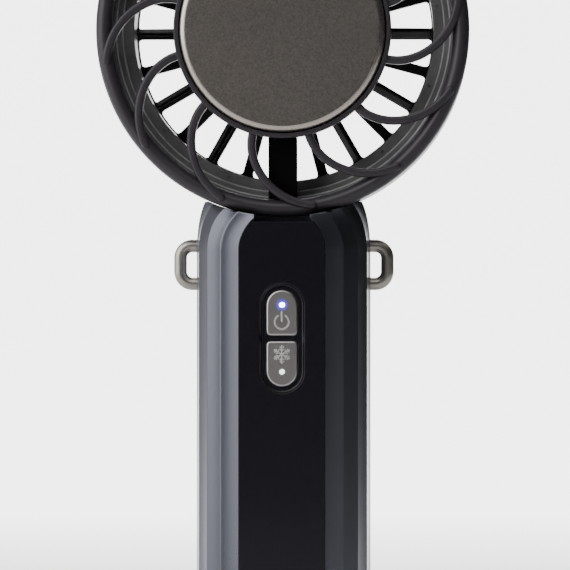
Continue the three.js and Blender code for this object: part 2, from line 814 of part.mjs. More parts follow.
function frontGrille() {
  const mid = headRadius - ringWidth / 2;
  const steps = 6;
  const crown = [];
  for (let i = 0; i <= steps; i += 1) {
    const angle = Math.PI * (i / steps);
    crown.push([mid - (ringWidth / 2) * Math.cos(angle), ringCrown + ringRound * (1 - Math.sin(angle))]);
  }
  const back = ringCrown + ringHeight;
  const ring = turnedY([[ringInner, back], ...crown, [headRadius, back]]);
  const bezel = turnedY([
    [bezelInner, bezelFront + 0.3], [bezelInner + 0.3, bezelFront], [bezelOuter - 0.4, bezelFront],
    [bezelOuter, bezelFront + 0.4], [bezelOuter, bezelRear], [bezelInner, bezelRear],
  ], fineSides);
  const ribs = [];
  for (let k = 0; k < ribCount; k += 1) {
    const outline = ribOutline(ribFirst + k * (360 / ribCount));
    ribs.push(slabY(outline, headFront, headFront + ribDepth));
  }
  return join(ring, bezel, ...ribs);
}

function coolingPlate() {
  const front = bezelFront - plateProud;
  const skirt = plateBack + plateSkirt;
  const rim = plateRadius - plateRim;
  const edge = [];
  for (let i = 0; i <= 3; i += 1) {
    const angle = (Math.PI / 2) * (i / 3);
    edge.push([
      plateRadius - plateRound * (1 - Math.sin(angle)),
      front + plateRound * (1 - Math.cos(angle)),
    ]);
  }
  return turnedY([[0, front], ...edge, [plateRadius, skirt], [rim, skirt], [rim, plateBack], [0, plateBack]]);
}

const plateBack = bezelFront - plateProud + plateThickness;
const padFront = plateBack + gap;
const peltierFront = padFront + padThickness + gap;
const sinkFront = peltierFront + peltierThickness + gap;

function thermalPad() {
  const half = peltierSide / 2;
  return box(-half, half, padFront, padFront + padThickness, -half, half);
}

// Two ceramic faces joined by the thermocouple block, drawn as one body with sunken sides.
function peltierModule() {
  const half = peltierSide / 2;
  const body = box(-half, half, peltierFront, peltierFront + peltierThickness, -half, half);
  const slots = [-1, 1].map((side) => box(
    side > 0 ? half - 0.7 : -half - over, side > 0 ? half + over : -half + 0.7,
    peltierFront + 0.8, peltierFront + peltierThickness - 0.8, -half - over, half + over,
  ));
  return cut(body, ...slots);
}

function heatSink() {
  const radius = podRadius - podWall - gap;
  const base = rodY(radius, sinkFront, sinkFront + sinkBase, 0, 0, fineSides);
  const pitch = (2 * radius) / (finCount + 1);
  const fins = [];
  for (let i = 1; i <= finCount; i += 1) {
    const x = -radius + i * pitch;
    const half = Math.sqrt(radius * radius - x * x) - 1;
    const near = sinkFront + sinkBase / 2;
    fins.push(box(x - finThickness / 2, x + finThickness / 2, near, podRear - 0.2, -half, half));
  }
  return join(base, ...fins);
}

function plateCarrier() {
  const inner = podRadius - podWall;
  const tube = tubeY(inner, podRadius, podFront, podRear, fineSides);
  const lips = [0, 90, 180, 270].map((angle) => {
    const at = polar(inner - 0.6, angle + 45);
    return box(at.x - 1.4, at.x + 1.4, podFront, podFront + 1.4, at.y - 1.4, at.y + 1.4);
  });
  const room = rodY((peltierSide * Math.SQRT2) / 2 + gap, podFront - over, podRear, 0, 0, fineSides);
  return cut(join(tube, ...lips), room);
}

function wireStrut() {
  const top = -Math.sqrt(podRadius ** 2 - (strutWidth / 2) ** 2) - gap;
  const foot = -(ringInner - gap);
  const front = headFront + ribDepth + gap;
  const block = box(-strutWidth / 2, strutWidth / 2, front, front + strutDepth, foot - 1, -podRadius / 2);
  const reach = rodY(ringInner - gap, front - over, front + strutDepth + over, 0, 0, fineSides);
  const hub = rodY(podRadius + gap, front - over, front + strutDepth + over, 0, 0, fineSides);
  return top < foot ? block : cut(block.intersect(reach), hub);
}

function guardScrewPlaces() {
  return [45, 135, 225, 315].map((angle) => polar(guardScrewRadius, angle));
}

function headShell() {
  const recess = headRear - guardRecess;
  const rim = headRadius - guardRim;
  const profile = [
    [headRadius, ductFront], [headRadius, headRear - rearRound],
    [headRadius - 0.6, headRear - 0.6], [headRadius - rearRound, headRear], [rim, headRear],
    [rim, 1], [ductBore + ductWall, 1], [ductBore + ductWall, recess],
    [ductBore, recess], [ductBore, ledgeY], [secondLip, ledgeY], [secondLip, ledgeY - lipDepth],
    [firstLip, ledgeY - lipDepth], [firstLip, ledgeY - 2 * lipDepth],
    [ringInner, ledgeY - 2 * lipDepth], [ringInner, ductFront],
  ];
  const duct = turnedY([...profile].reverse());
  const bosses = guardScrewPlaces().map((p) => rodY(screwBoss, 0.5, recess, p.x, p.y));
  const holes = guardScrewPlaces().map((p) => rodY(
    screwPilot, recess - guardScrewLength - over, recess + over, p.x, p.y,
  ));
  const drop = hingeZ - headZ;
  const leg = box(-knuckleHalf, knuckleHalf, hingeY - knuckleRadius, hingeY, drop, -headRadius + 2);
  const knuckle = rodX(knuckleRadius, -knuckleHalf, knuckleHalf, hingeY, drop);
  const bore = rodX(hingePinRadius + runGap, -headRadius, headRadius, hingeY, drop);
  return cut(join(duct, leg, knuckle, ...bosses), bore, ...holes);
}

// One guard window: a sector with rounded outer corners between two bars.
function guardWindow(angle) {
  const half = 180 / windowCount;
  const bar = guardBarWidth / 2;
  const corner = windowCorner;
  const barEdge = (radius) => half - (Math.asin(bar / radius) * 180) / Math.PI;
  const outer = barEdge(windowOuter) - (corner / windowOuter) * (180 / Math.PI);
  const side = windowOuter - corner;
  const points = [polar(windowInner, -barEdge(windowInner)), polar(side, -barEdge(side))];
  const rounded = (...bend) => new THREE.QuadraticBezierCurve(...bend).getPoints(3).slice(1);
  points.push(...rounded(points[1], polar(windowOuter, -barEdge(windowOuter)), polar(windowOuter, -outer)));
  points.push(polar(windowOuter, 0), polar(windowOuter, outer));
  const last = polar(side, barEdge(side));
  points.push(...rounded(points[points.length - 1], polar(windowOuter, barEdge(windowOuter)), last));
  points.push(polar(windowInner, barEdge(windowInner)));
  return new THREE.Path(points.map((p) => p.rotateAround(new THREE.Vector2(), degrees(angle))));
}

const bearingRoom = bearingOuter + runGap;
const motorTube = bearingRoom + motorTubeWall;
const impellerFront = ledgeY + impellerGap;
const hubRear = impellerFront + bladeLength + 1.6;
const tubeFront = impellerFront + 3.4;
const statorFront = impellerFront + 4;
const statorRear = statorFront + statorLength;
const boardRing = statorRear + 0.7;
const motorScrewRadius = 11.5;

function rearGuard() {
  const disc = new THREE.Shape();
  disc.absarc(0, 0, guardRadius, 0, 2 * Math.PI, false);
  for (let k = 0; k < windowCount; k += 1) {
    disc.holes.push(guardWindow((k + 0.5) * (360 / windowCount)));
  }
  const plate = slabY(disc, guardFront, headRear, fineSides / 2);
  const tube = rodY(motorTube, tubeFront, guardFront + 0.5, 0, 0, midSides);
  const bosses = motorScrewPlaces().map((p) => rodY(
    screwBoss, boardRing + boardThickness + gap, guardFront + 0.5, p.x, p.y,
  ));
  const holes = [
    rodY(bearingRoom, tubeFront - over, guardFront, 0, 0, midSides),
    ...motorScrewPlaces().map((p) => rodY(screwPilot, boardRing, headRear - 0.6, p.x, p.y)),
    ...guardScrewPlaces().map((p) => rodY(screwClear, guardFront - over, headRear + over, p.x, p.y)),
    ...guardScrewPlaces().map((p) => rodY(screwHead + gap, headRear - 1.4, headRear + over, p.x, p.y)),
  ];
  return cut(join(plate, tube, ...bosses), ...holes);
}

function motorScrewPlaces() {
  return [0, 180].map((angle) => polar(motorScrewRadius, angle));
}

function motorBoard() {
  const back = boardRing + boardThickness;
  const ring = tubeY(motorTube + gap, motorScrewRadius + 3, boardRing, back);
  const holes = motorScrewPlaces().map((p) => rodY(screwClear, boardRing - over, back + over, p.x, p.y));
  return cut(ring, ...holes);
}

function motorStator() {
  const core = tubeY(motorTube + runGap, motorTube + 1.6, statorFront, statorRear);
  const poles = [];
  for (let k = 0; k < poleCount; k += 1) {
    const neck = new THREE.BoxGeometry(statorOuter - motorTube - 1.2, statorRear - statorFront - 1, 1.6);
    neck.translate((statorOuter + motorTube) / 2, (statorFront + statorRear) / 2, 0);
    const shoe = new THREE.BoxGeometry(0.9, statorRear - statorFront, 4.4);
    shoe.translate(statorOuter - 0.6, (statorFront + statorRear) / 2, 0);
    const turn = degrees(k * (360 / poleCount));
    poles.push(solid(neck.rotateY(turn)), solid(shoe.rotateY(turn)));
  }
  return join(core, ...poles);
}

// A curved, steep blade from the hub to the tip, drawn end-on and raised along the radius.
function blade(angle) {
  const tip = ductBore - bladeTipGap;
  const profile = [];
  const steps = 4;
  const half = new THREE.Vector2(bladeThickness / 2, 0);
  const lineAt = (t) => new THREE.Vector2(
    bladeLean * (t - 0.5) + bladeHollow * (t - 0.5) ** 2,
    impellerFront + 0.6 + bladeLength * t,
  );
  for (let i = 0; i <= steps; i += 1) profile.push(lineAt(i / steps).add(half));
  for (let i = steps; i >= 0; i -= 1) profile.push(lineAt(i / steps).sub(half));
  const section = new THREE.Shape(profile);
  const shape = new THREE.ExtrudeGeometry(section, { depth: tip - hubRadius + 1, bevelEnabled: false });
  shape.translate(0, 0, hubRadius - 1);
  shape.rotateY(degrees(90 - angle));
  return solid(shape);
}

function impeller() {
  const front = impellerFront;
  const floor = front + hubWall;
  const bore = shaftRadius + runGap;
  const cup = magnetOuter + runGap;
  const hub = turnedY([
    [bore, front], [hubRadius - 1, front], [hubRadius, front + 1], [hubRadius, hubRear],
    [hubRadius - hubWall, hubRear], [hubRadius - hubWall, floor],
    [cup + 1.6, floor], [cup + 1.6, hubRear - 1], [cup, hubRear - 1], [cup, floor],
    [bore + 2, floor], [bore + 2, floor + 1.3], [bore, floor + 1.3],
  ], 36);
  const blades = [];
  for (let k = 0; k < bladeCount; k += 1) blades.push(blade(k * (360 / bladeCount)));
  return join(hub, ...blades);
}

const magnetFront = impellerFront + hubWall + gap;
const bearingPlaces = { front: tubeFront + bearingInset, rear: guardFront - bearingLength - bearingInset };

function bearing(y) {
  return tubeY(shaftRadius + runGap, bearingOuter, y, y + bearingLength);
}

// ---------------------------------------------------------------- assembly
piece('handle_front_shell', frontShell(), finishes.anodised, root);
piece('handle_rear_shell', rearShell(), finishes.anodised, root);
piece('face_panel', facePanel(), finishes.facePanel, root);
piece('button_frame', buttonFrame(), finishes.facePanel, root);
piece('base_cap', baseCap(), finishes.blackPlastic, root);
[-1, 1].forEach((side) => {
  const word = side < 0 ? 'left' : 'right';
  piece(`base_screw_${word}`, screwUp(0.5, 1, 8, side * baseScrewX, baseScrewY), finishes.steel, root);
  piece(`strap_loop_${word}`, strapLoop(side), finishes.nickel, root);
  const washer = tubeY(hingePinRadius + runGap, knuckleRadius - 0.2, 0, washerThickness, 16);
  const inner = knuckleHalf + gap;
  const mesh = piece(`friction_washer_${word}`, washer, finishes.steel, root);
  mesh.position.set(side < 0 ? -inner - washerThickness : inner, hingeY, hingeZ);
  mesh.rotation.z = -Math.PI / 2;
});
const pinHalf = earInner + earWidth;
piece('hinge_pin', rodX(hingePinRadius, -pinHalf, pinHalf, hingeY, hingeZ), finishes.steel, root);
piece('battery_cell', batteryCell(), finishes.cellWrap, root);
piece('battery_cradle', batteryCradle(), finishes.blackPlastic, root);
piece('control_board', controlBoard(), finishes.circuit, root);
boardPosts().forEach(([x, z], i) => {
  const face = boardFront + boardThickness + gap + 0.9;
  piece(`board_screw_${i + 1}`, screwAlongY(screwHead, face, 0.9, 3.2, 1, x, z), finishes.steel, root);
});
piece('usb_c_socket', usbSocket(), finishes.nickel, root);
piece('charge_board', chargeBoard(), finishes.circuit, root);
buttonNames.forEach((which) => {
  piece(`${which}_switch`, tactSwitch(which), finishes.blackPlastic, root);
  piece(`${which}_light`, indicatorLight(which), finishes.clearPipe, root);
  piece(`${which}_button`, button(which), finishes.buttonMetal, root);
  piece(`${which}_light_pipe`, lightPipe(which), finishes.clearPipe, root);
});

piece('front_grille', frontGrille(), finishes.guardPlastic, head);
piece('cooling_plate', coolingPlate(), finishes.blastedMetal, head);
piece('thermal_pad', thermalPad(), finishes.softPad, head);
piece('peltier_module', peltierModule(), finishes.ceramic, head);
piece('heat_sink', heatSink(), finishes.aluminium, head);
piece('plate_carrier', plateCarrier(), finishes.blackPlastic, head);
piece('wire_strut', wireStrut(), finishes.blackPlastic, head);
piece('head_shell', headShell(), finishes.ductPlastic, head);
piece('rear_guard', rearGuard(), finishes.guardPlastic, head);
piece('motor_board', motorBoard(), finishes.circuit, head);
piece('motor_stator', motorStator(), finishes.copper, head);
piece('front_bearing', bearing(bearingPlaces.front), finishes.steel, head);
piece('rear_bearing', bearing(bearingPlaces.rear), finishes.steel, head);
guardScrewPlaces().forEach((p, i) => {
  const screw = screwAlongY(screwHead, headRear - 0.2, 0.9, guardScrewLength, 1, p.x, p.y);
  piece(`guard_screw_${i + 1}`, screw, finishes.steel, head);
});
motorScrewPlaces().forEach((p, i) => {
  const screw = screwAlongY(screwHead - 0.2, boardRing - gap - 0.8, 0.8, 3, -1, p.x, p.y);
  piece(`motor_screw_${i + 1}`, screw, finishes.steel, head);
});
piece('impeller', impeller(), finishes.blackPlastic, head);
const magnet = tubeY(magnetOuter - magnetWall, magnetOuter, magnetFront, magnetFront + magnetLength);
piece('magnet_ring', magnet, finishes.magnet, head);
piece('motor_shaft', rodY(shaftRadius, impellerFront, guardFront - 0.4, 0, 0), finishes.steel, head);

export default root;
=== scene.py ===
"""A handheld fan with a cooling plate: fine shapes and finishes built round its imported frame."""

import json
import math

import bmesh
import bpy
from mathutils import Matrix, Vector


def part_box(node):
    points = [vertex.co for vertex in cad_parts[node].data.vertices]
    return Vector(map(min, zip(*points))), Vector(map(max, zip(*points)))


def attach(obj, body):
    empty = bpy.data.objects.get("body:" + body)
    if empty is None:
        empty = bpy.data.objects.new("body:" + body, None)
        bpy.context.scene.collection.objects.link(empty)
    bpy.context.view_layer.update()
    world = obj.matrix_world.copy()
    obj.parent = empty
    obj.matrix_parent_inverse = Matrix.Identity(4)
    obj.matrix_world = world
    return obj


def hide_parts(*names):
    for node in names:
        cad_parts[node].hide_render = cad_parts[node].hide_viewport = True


bl_info = {
    "name": "Handheld cooling fan",
    "version": (1, 0, 0),
    "blender": (4, 5, 0),
    "location": "3D View > Sidebar > Fan",
    "description": "Builds the visible shapes and finishes of a handheld fan with a cooling plate",
    "category": "Object",
}

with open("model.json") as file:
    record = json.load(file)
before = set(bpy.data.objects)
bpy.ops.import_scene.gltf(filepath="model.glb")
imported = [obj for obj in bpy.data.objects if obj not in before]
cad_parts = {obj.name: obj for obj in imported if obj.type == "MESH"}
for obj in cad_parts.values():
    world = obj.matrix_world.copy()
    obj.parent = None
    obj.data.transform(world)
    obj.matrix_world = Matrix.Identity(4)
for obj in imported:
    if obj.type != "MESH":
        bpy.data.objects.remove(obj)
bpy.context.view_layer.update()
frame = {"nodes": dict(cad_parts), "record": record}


def node_box(node):
    """Lowest and highest corner of a frame node as vectors."""
    low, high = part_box(node)
    return Vector(low), Vector(high)


RING_LOW, RING_HIGH = node_box("front_grille")
SHELL_LOW = node_box("head_shell")[0]
PLATE_LOW, PLATE_HIGH = node_box("cooling_plate")
FRONT_LOW, FRONT_HIGH = node_box("handle_front_shell")
REAR_HIGH = node_box("handle_rear_shell")[1]
GUARD_LOW, GUARD_HIGH = node_box("rear_guard")
PANEL_LOW, PANEL_HIGH = node_box("face_panel")
FRAME_LOW, FRAME_HIGH = node_box("button_frame")
LOOP_LOW, LOOP_HIGH = node_box("strap_loop_right")
CAP_LOW = node_box("base_cap")[0]
STRUT_LOW, STRUT_HIGH = node_box("wire_strut")
ROTOR_LOW, ROTOR_HIGH = node_box("impeller")
PIN_LOW, PIN_HIGH = node_box("hinge_pin")
HEAD_CENTRE = Vector((0, 0, (RING_LOW.z + RING_HIGH.z) / 2))
HEAD_RADIUS = (RING_HIGH.x - RING_LOW.x) / 2
HINGE = (PIN_LOW + PIN_HIGH) / 2
# The ribs' front and the rear guard's back lie evenly about the middle of the head.
HEAD_REAR = GUARD_HIGH.y
HEAD_FRONT = -HEAD_REAR
# The hinge: its knuckles' radius, the pin's holes in the head and in the handle, and the handle's ears.
KNUCKLE = 0.0024
HEAD_BORE = 0.0013
EAR_BORE = 0.00125
EAR_INNER = 0.0056
EAR_OUTER = 0.0088
# Radius on which the rear guard's screws stand, and the directions of the first and of the next.
SCREW_CIRCLE = 0.0398
SCREW_FIRST = 45
SCREW_PITCH = 90
# How far a cutting shape runs past a face, and past the whole fan.
PAST = 0.001
FAR = 0.1
TOP = 0.2
# Widths of the softened edges of machined and of moulded pieces.
MACHINED_EDGE = 0.00012
MOULDED_EDGE = 0.0001
# How far the icons stand out of a button, and how far they are let into it.
ICON_RISE = 0.00012
ICON_ROOT = 0.0001


# ---------------------------------------------------------------- sizes and colours a user may change
def length(name, description, default):
    """A size in metres."""
    shown = {"name": name, "description": description, "unit": "LENGTH", "precision": 5}
    return bpy.props.FloatProperty(default=default, **shown)


def angle(name, description, degrees):
    """An angle, given here in degrees."""
    shown = {"name": name, "description": description, "subtype": "ANGLE"}
    return bpy.props.FloatProperty(default=math.radians(degrees), **shown)


def count(name, description, default):
    """A whole number of copies or steps."""
    return bpy.props.IntProperty(name=name, description=description, default=default, min=1)


def share(name, description, default):
    """A plain ratio."""
    return bpy.props.FloatProperty(name=name, description=description, default=default)


def colour(name, description, default):
    """A linear colour."""
    shown = {"name": name, "description": description, "subtype": "COLOR", "size": 3}
    return bpy.props.FloatVectorProperty(default=default, **shown)


class HandleSizes(bpy.types.PropertyGroup):
    """Shape of the fluted handle, its face panel and its strap loops."""

    face_width: length("Face width", "Flat front face between the first flutes", 0.0208)
    side_width: length("Side width", "Flat side face between the last flutes", 0.008)
    flutes: count("Flutes", "Hollow flutes round each corner", 4)
    flute_hollow: length("Flute hollow", "Depth of each flute", 0.00012)
    flute_bias: share("Flute bias", "Below 1 widens the flutes next to the face", 0.94)
    arris_round: length("Arris round", "Radius that softens each arris", 0.00018)
    shoulder_drop: length("Shoulder drop", "From the head's lowest point to where rounding starts", 0.0082)
    shoulder_height: length("Shoulder height", "Height over which the shoulder rounds in", 0.014)
    shoulder_reach: share("Shoulder reach", "Share of the shoulder height that is built", 0.85)
    face_shoulder: share("Face shoulder", "How sharply the face arches, in half widths", 2.05)
    side_shoulder: length("Side shoulder", "How far the sides round in", 0.0043)
    wall: length("Wall", "Thickness of the handle wall", 0.002)
    seam: length("Seam", "Half the gap between the two shells", 0.00006)
    saddle_gap: length("Saddle gap", "Space under the head", 0.00008)
    saddle_depth: length("Saddle depth", "Where the saddle ends behind the middle", 0.008)
    notch_width: length("Notch width", "Width of the notch under the head", 0.0134)
    panel_gap: length("Panel gap", "Gap round the face panel", 0.00005)


class HeadSizes(bpy.types.PropertyGroup):
    """Shape of the round head and its guard."""

    ring_width: length("Ring width", "Front ring seen from the front", 0.004)
    ring_round: length("Ring round", "How far the ring's face is crowned", 0.0026)
    ring_setback: length("Ring setback", "Ring crown behind the ribs' front", 0.0005)
    ribs: count("Ribs", "Swirl ribs of the guard", 12)
    rib_width: length("Rib width", "Width of a rib seen from the front", 0.002)
    rib_depth: length("Rib depth", "Depth of a rib", 0.0032)
    rib_first: angle("First rib", "Direction of the first rib's root", 14)
    rib_sweep: angle("Rib sweep", "Turn about the head from root to tip", 26)
    rib_heading: angle("Rib heading", "Direction of the tip from the root's radius", 102)
    rib_leave: share("Rib leave", "Curve handle at the root, as a share of the rib's reach", 0.35)
    rib_arrive: share("Rib arrive", "Curve handle at the tip, as a share of the rib's reach", 0.436)
    bezel_width: length("Bezel width", "Thin ring round the plate", 0.0011)
    plate_round: length("Plate round", "Rounded edge of the plate", 0.0018)
    duct_bore: length("Duct bore", "Radius round the impeller", 0.0363)
    first_lip: length("First lip", "Radius of the first step in the duct", 0.0402)
    second_lip: length("Second lip", "Radius of the second step in the duct", 0.0388)
    windows: count("Windows", "Openings in the rear guard", 24)
    window_outer: length("Window outer", "Outer radius of the windows", 0.036)
    window_inner: length("Window inner", "Inner radius of the windows", 0.024)
    bar_width: length("Bar width", "Bar between two windows", 0.0024)
    window_round: length("Window round", "Corner radius of a window", 0.0013)
    blades: count("Blades", "Blades of the impeller", 12)


class ButtonSizes(bpy.types.PropertyGroup):
    """Shape of the two push buttons and the recess they sit in."""

    width: length("Width", "Width of a button", 0.00755)
    height: length("Height", "Height of a button", 0.011)
    spacing: length("Spacing", "Space between the buttons", 0.00127)
    near_corner: length("Near corner", "Small corner radius", 0.0012)
    rim: length("Rim", "Recess seen round the buttons", 0.001)
    bevel: length("Bevel", "Polished bevel round a button", 0.0005)
    thickness: length("Thickness", "Thickness of a button", 0.00085)
    light_hole: length("Light hole", "Radius of the hole round a light pipe", 0.00072)
    stem_radius: length("Stem radius", "Stem that presses the switch", 0.0013)
    stem_offset: length("Stem offset", "Stem from the middle of its button", 0.0023)
    light_offset: length("Light offset", "Light from the middle of its button", 0.0019)
    icon_offset: length("Icon offset", "Icon from the middle of its button", 0.0022)
    icon_radius: length("Icon radius", "Size of the raised icons", 0.0017)
    icon_stroke: length("Icon stroke", "Width of the icons' lines", 0.0005)


class FanColours(bpy.types.PropertyGroup):
    """Linear colours of the main finishes."""

    body: colour("Body", "Anodised handle", (0.175, 0.182, 0.215))
    face: colour("Face", "Gloss face panel", (0.0135, 0.0125, 0.0185))
    guard: colour("Guard", "Semi-gloss guard moulding", (0.05, 0.0445, 0.0515))
    duct: colour("Duct", "Satin duct moulding", (0.26, 0.256, 0.258))
    plate: colour("Plate", "Bead-blasted plate", (0.265, 0.241, 0.222))
    button: colour("Button", "Satin button metal", (0.36, 0.335, 0.315))
    loop: colour("Loop", "Nickel strap loops", (0.6, 0.565, 0.515))
    power_light: colour("Power light", "Glow of the power light", (0.0, 0.0, 1.0))
    backdrop: colour("Backdrop", "Floor and backdrop", (0.83, 0.83, 0.83))


class StudioSizes(bpy.types.PropertyGroup):
    """Camera and lights."""

    distance: length("Distance", "Camera to object", 1.25)
    view_width: length("View width", "Width seen at the object", 0.1386)
    aim_height: length("Aim height", "Height that the camera looks at", 0.0985)
    aim_side: length("Aim side", "How far right of the middle it looks", 0.00027)
    turn: angle("Turn", "Camera's turn round the object", 1.5)
    lit_from: length("Lit from", "Where the lit part of the backdrop starts behind the object", 0.05)
    lit_width: length("Lit width", "Half width at which the lit part has faded out", 0.95)
    backdrop_light: share("Backdrop light", "Brightness of the lit backdrop", 3.85)
    room_light: share("Room light", "Brightness of the soft light all round", 0.52)


# ---------------------------------------------------------------- shader maths
class Term:
    """A shader socket that adds Math nodes when it is used in a Python expression."""

    def __init__(self, finish, socket):
        self.finish = finish
        self.socket = socket

    def maths(self, operation, *values):
        node = self.finish.node("ShaderNodeMath", {"operation": operation}, dict(enumerate(values)))
        return Term(self.finish, node.outputs[0])

    def __add__(self, other):
        return self.maths("ADD", self, other)

    def __radd__(self, other):
        return self.maths("ADD", other, self)

    def __sub__(self, other):
        return self.maths("SUBTRACT", self, other)

    def __rsub__(self, other):
        return self.maths("SUBTRACT", other, self)

    def __mul__(self, other):
        return self.maths("MULTIPLY", self, other)

    def __truediv__(self, other):
        return self.maths("DIVIDE", self, other)

    def power(self, exponent):
        """This term raised to a power."""
        return self.maths("POWER", self, exponent)


class Finish:
    """One material: a Principled shader and the nodes that feed it."""

    def __init__(self, name, **fixed):
        self.material = bpy.data.materials.new(name)
        self.material.use_nodes = True
        self.tree = self.material.node_tree
        self.tree.nodes.clear()
        self.output = self.tree.nodes.new("ShaderNodeOutputMaterial")
        self.shader = self.tree.nodes.new("ShaderNodeBsdfPrincipled")
        self.tree.links.new(self.shader.outputs[0], self.output.inputs[0])
        for socket, value in fixed.items():
            self.shader.inputs[socket.replace("_", " ")].default_value = value

    def put(self, socket, value):
        """Links a term or node output to a socket, or sets a plain value on it."""
        if isinstance(value, Term):
            value = value.socket
        if isinstance(value, bpy.types.NodeSocket):
            self.tree.links.new(value, socket)
        else:
            socket.default_value = value

    def node(self, kind, settings=None, values=None):
        """Adds a node: settings first, a ramp's stops among them, then its sockets by name or number."""
        node = self.tree.nodes.new(kind)
        for key, value in (settings or {}).items():
            if key == "stops":
                self.set_stops(node.color_ramp, value)
            else:
                setattr(node, key, value)
        for key, value in (values or {}).items():
            self.put(node.inputs[key], value)
        return node

    @staticmethod
    def set_stops(ramp, stops):
        """Gives a ramp its stops as (place, colour)."""
        while len(ramp.elements) < len(stops):
            ramp.elements.new(1.0)
        for element, (place, value) in zip(ramp.elements, stops):
            element.position = place
            element.color = (*value, 1.0)

    def here(self):
        """Object coordinates as a vector socket."""
        return self.node("ShaderNodeTexCoord").outputs["Object"]

    def noise(self, scale, detail=3.0, roughness=0.55, vector=None):
        """Noise over the object's own coordinates."""
        place = vector or self.here()
        node = self.node(
            "ShaderNodeTexNoise",
            {"noise_dimensions": "3D"},
            {"Vector": place, "Scale": scale, "Detail": detail, "Roughness": roughness},
        )
        return Term(self, node.outputs["Fac"])

    def stretched(self, scale_xyz, scale, detail=2.0):
        """Noise drawn out along an axis, as in brushed metal."""
        mapping = self.node("ShaderNodeMapping", None, {"Vector": self.here(), "Scale": scale_xyz})
        return self.noise(scale, detail, 0.6, mapping.outputs[0])

    def blend(self, factor, low, high):
        """A colour between two, by a factor."""
        node = self.node("ShaderNodeMix", {"data_type": "RGBA"}, {"Factor": factor})
        self.put(node.inputs[6], (*low, 1.0))
        self.put(node.inputs[7], (*high, 1.0))
        return node.outputs[2]

    def ramp(self, factor, *stops):
        """A colour ramp."""
        return self.node("ShaderNodeValToRGB", {"stops": stops}, {"Fac": factor}).outputs[0]

    def set(self, socket, value):
        """Feeds one input of the shader."""
        self.put(self.shader.inputs[socket], value)
        return self

    def bump(self, height, strength, distance):
        """Feeds a height to the shader's normal."""
        relief = {"Height": height, "Strength": strength, "Distance": distance}
        node = self.node("ShaderNodeBump", None, relief)
        self.put(self.shader.inputs["Normal"], node.outputs[0])
        return self


def darker(value, factor):
    """A colour scaled."""
    return tuple(channel * factor for channel in value)


# ---------------------------------------------------------------- finishes
def anodised_finish(c):
    """Blue-grey anodised aluminium: fine grain, faint handling marks and a soft change of gloss."""
    f = Finish("anodised_body", Metallic=0.92, Coat_Weight=0.12, Coat_Roughness=0.15)
    grain = f.noise(5200.0, 2.0)
    cloud = f.noise(38.0, 4.0)
    f.set("Base Color", f.blend(cloud, darker(c.body, 0.93), darker(c.body, 1.07)))
    f.set("Roughness", 0.235 + cloud * 0.07 + grain * 0.04)
    return f.bump(grain, 0.06, 0.00002).material


def face_finish(c):
    """Gloss near-black moulding with faint dust and wiping haze."""
    f = Finish("face_panel", Specular_IOR_Level=0.34, Coat_Weight=0.2, Coat_Roughness=0.06)
    haze = f.noise(60.0, 5.0)
    speck = f.noise(3400.0, 1.0)
    f.set("Base Color", f.blend(speck.power(6.0), c.face, darker(c.face, 2.2)))
    f.set("Roughness", 0.16 + haze * 0.12)
    return f.bump(haze, 0.02, 0.0001).material


def guard_finish(c):
    """Semi-gloss moulded guard: fine spark texture and a cloudy change of tone and gloss."""
    f = Finish("guard_plastic", Specular_IOR_Level=0.5)
    spark = f.noise(2600.0, 3.0)
    cloud = f.noise(70.0, 3.0)
    f.set("Base Color", f.blend(cloud, darker(c.guard, 0.85), darker(c.guard, 1.2)))
    f.set("Roughness", 0.3 + cloud * 0.1 + spark * 0.06)
    return f.bump(spark, 0.1, 0.00003).material


def duct_finish(c):
    """Satin mid-grey duct with mould flow marks round the bore."""
    f = Finish("duct_plastic", Specular_IOR_Level=0.6)
    flow = f.noise(120.0, 5.0, 0.7)
    spark = f.noise(2200.0, 3.0)
    stops = ((0.3, darker(c.duct, 0.8)), (0.5, tuple(c.duct)), (0.72, darker(c.duct, 1.15)))
    f.set("Base Color", f.ramp(flow, *stops))
    f.set("Roughness", 0.22 + flow * 0.2)
    return f.bump(spark, 0.12, 0.00004).material


def black_finish():
    """Plain black moulding with a fine texture."""
    f = Finish("black_plastic", Specular_IOR_Level=0.08)
    spark = f.noise(1800.0, 4.0)
    f.set("Base Color", f.blend(spark, (0.0015, 0.0015, 0.0018), (0.005, 0.005, 0.0055)))
    f.set("Roughness", 0.62 + spark * 0.18)
    return f.bump(spark, 0.15, 0.00004).material


def blasted_finish(c):
    """Bead-blasted warm grey metal: even sparkling grain with small pits."""
    f = Finish("blasted_plate", Metallic=1.0)
    bead = f.noise(3600.0, 4.0, 0.75)
    coarse = f.noise(1500.0, 2.0, 0.6)
    cloud = f.noise(45.0, 3.0)
    pit = (bead * 0.65 + coarse * 0.35 - 0.32) * 2.6
    stops = ((0.1, darker(c.plate, 0.72)), (0.5, tuple(c.plate)), (0.9, darker(c.plate, 1.28)))
    f.set("Base Color", f.ramp(pit, *stops))
    f.set("Roughness", 0.4 + cloud * 0.06 + bead * 0.08)
    return f.bump(bead * 0.7 + coarse * 0.3, 0.55, 0.00006).material


def rim_highlight_finish(c):
    """The plate's rounded edge, smoother than its blasted face, with its colour raised well above the plate's
    as a painted highlight.
    """
    f = Finish("plate_rim_highlight", Metallic=1.0)
    bead = f.noise(3600.0, 4.0, 0.75)
    f.set("Base Color", f.blend(bead, darker(c.plate, 2.6), darker(c.plate, 3.2)))
    f.set("Roughness", 0.24 + bead * 0.08)
    return f.bump(bead, 0.2, 0.00004).material


def button_finish(c):
    """Satin blasted key metal."""
    f = Finish("button_metal", Metallic=1.0)
    bead = f.noise(5200.0, 3.0, 0.7)
    f.set("Base Color", f.blend(bead, darker(c.button, 0.75), darker(c.button, 1.2)))
    f.set("Roughness", 0.36 + bead * 0.1)
    return f.bump(bead, 0.3, 0.00003).material


